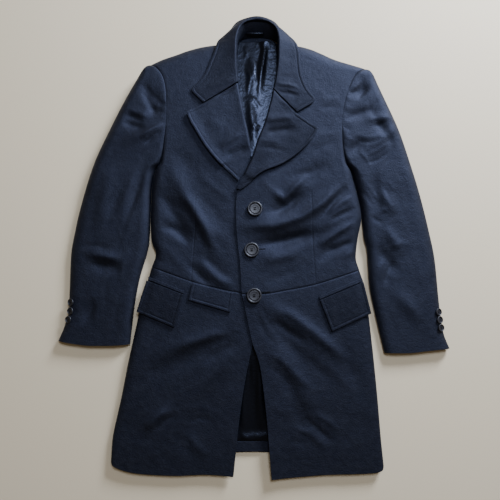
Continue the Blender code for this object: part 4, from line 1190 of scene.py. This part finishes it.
def build_hanger_loop():
    """The narrow satin loop sewn across the neck, inside the collar."""
    bm = bmesh.new()
    ax, ay, az, bx, by, bz = HANGER_LOOP
    line = []
    for k in range(HANGER_STEPS + 1):
        f = k / HANGER_STEPS
        bow = math.sin(math.pi * f) ** 0.5
        drop = HANGER_DROP * bow
        line.append((ax + (bx - ax) * f, ay + (by - ay) * f - drop, az + (bz - az) * f + HANGER_BOW * bow))
    tube(bm, line, HANGER_RADIUS, HANGER_FLAT)
    put(bm, "hanger_loop", None, "satin")


def build_stage():
    """A plain pale floor, soft light from beyond the collar, and the camera above the coat."""
    bpy.ops.mesh.primitive_plane_add(size=FLOOR_SIZE, location=(0, 0, -FLOOR_DROP))
    floor = bpy.context.object
    floor.name = "floor"
    made = start_material("pale_floor", Base_Color=linear("e8d7b4"), Roughness=0.7)[0]
    floor.data.materials.append(made)
    for name, at, aim, size, power in LAMPS:
        lamp = bpy.data.lights.new(name, "AREA")
        lamp.size = size
        lamp.energy = power
        lamp.color = linear("dce7ff")[:3]
        thing = add_object(name, lamp)
        thing.location = at
        thing.rotation_euler = (Vector(at) - Vector(aim)).to_track_quat("Z", "Y").to_euler()
    world = bpy.data.worlds.new("studio")
    world.use_nodes = True
    world.node_tree.nodes["Background"].inputs["Color"].default_value = linear("f6e2c0")
    world.node_tree.nodes["Background"].inputs["Strength"].default_value = SKY_STRENGTH
    bpy.context.scene.world = world
    lens = bpy.data.cameras.new("camera")
    lens.lens = LENS
    lens.sensor_width = LENS
    camera = add_object("camera", lens)
    camera.location = CAMERA_PLACE
    camera.rotation_euler = (math.radians(CAMERA_TILT), 0, 0)
    bpy.context.scene.camera = camera


build_stage()
MATERIALS = {
    "wool": wool_melton("down", 0.5),
    "across": wool_melton("across", 0.36),
    "satin": satin_lining(),
    "button": turned_horn(),
    "thread": waxed_thread(),
}
FRONT_TOPS = {"right": body_top, "left": lapped_top}
SIDES = ("right", "left")
OUTLINES = {side: trace(SIDE_SKIRT[side], SIDE_BODICE[side], ARMHOLE[side]) for side in SIDES}
BODY_CREASES = reach_of(BODY_CREASES + LAPEL_CREASES)
SLEEVE_CREASES = reach_of(SLEEVE_CREASES)
COLLAR_CREASES = reach_of(COLLAR_CREASES)
LINING_CREASES = reach_of(LINING_CREASES)
for wearer_side in SIDES:
    build_body(wearer_side)
    build_sleeve(wearer_side)
    build_lapel(wearer_side)
build_collar()
for row in FLAPS:
    build_flap(*row)
strip("lining_neck", LINING_NECK, lining_top, SATIN, "satin")
strip("lining_skirt", LINING_SKIRT, lining_top, SATIN, "satin")
strip("back_hem_turn_up", TURN_UP, lambda x, y: 2 * WOOL + SEAM_GAP, WOOL)
build_buttons()
build_hanger_loop()
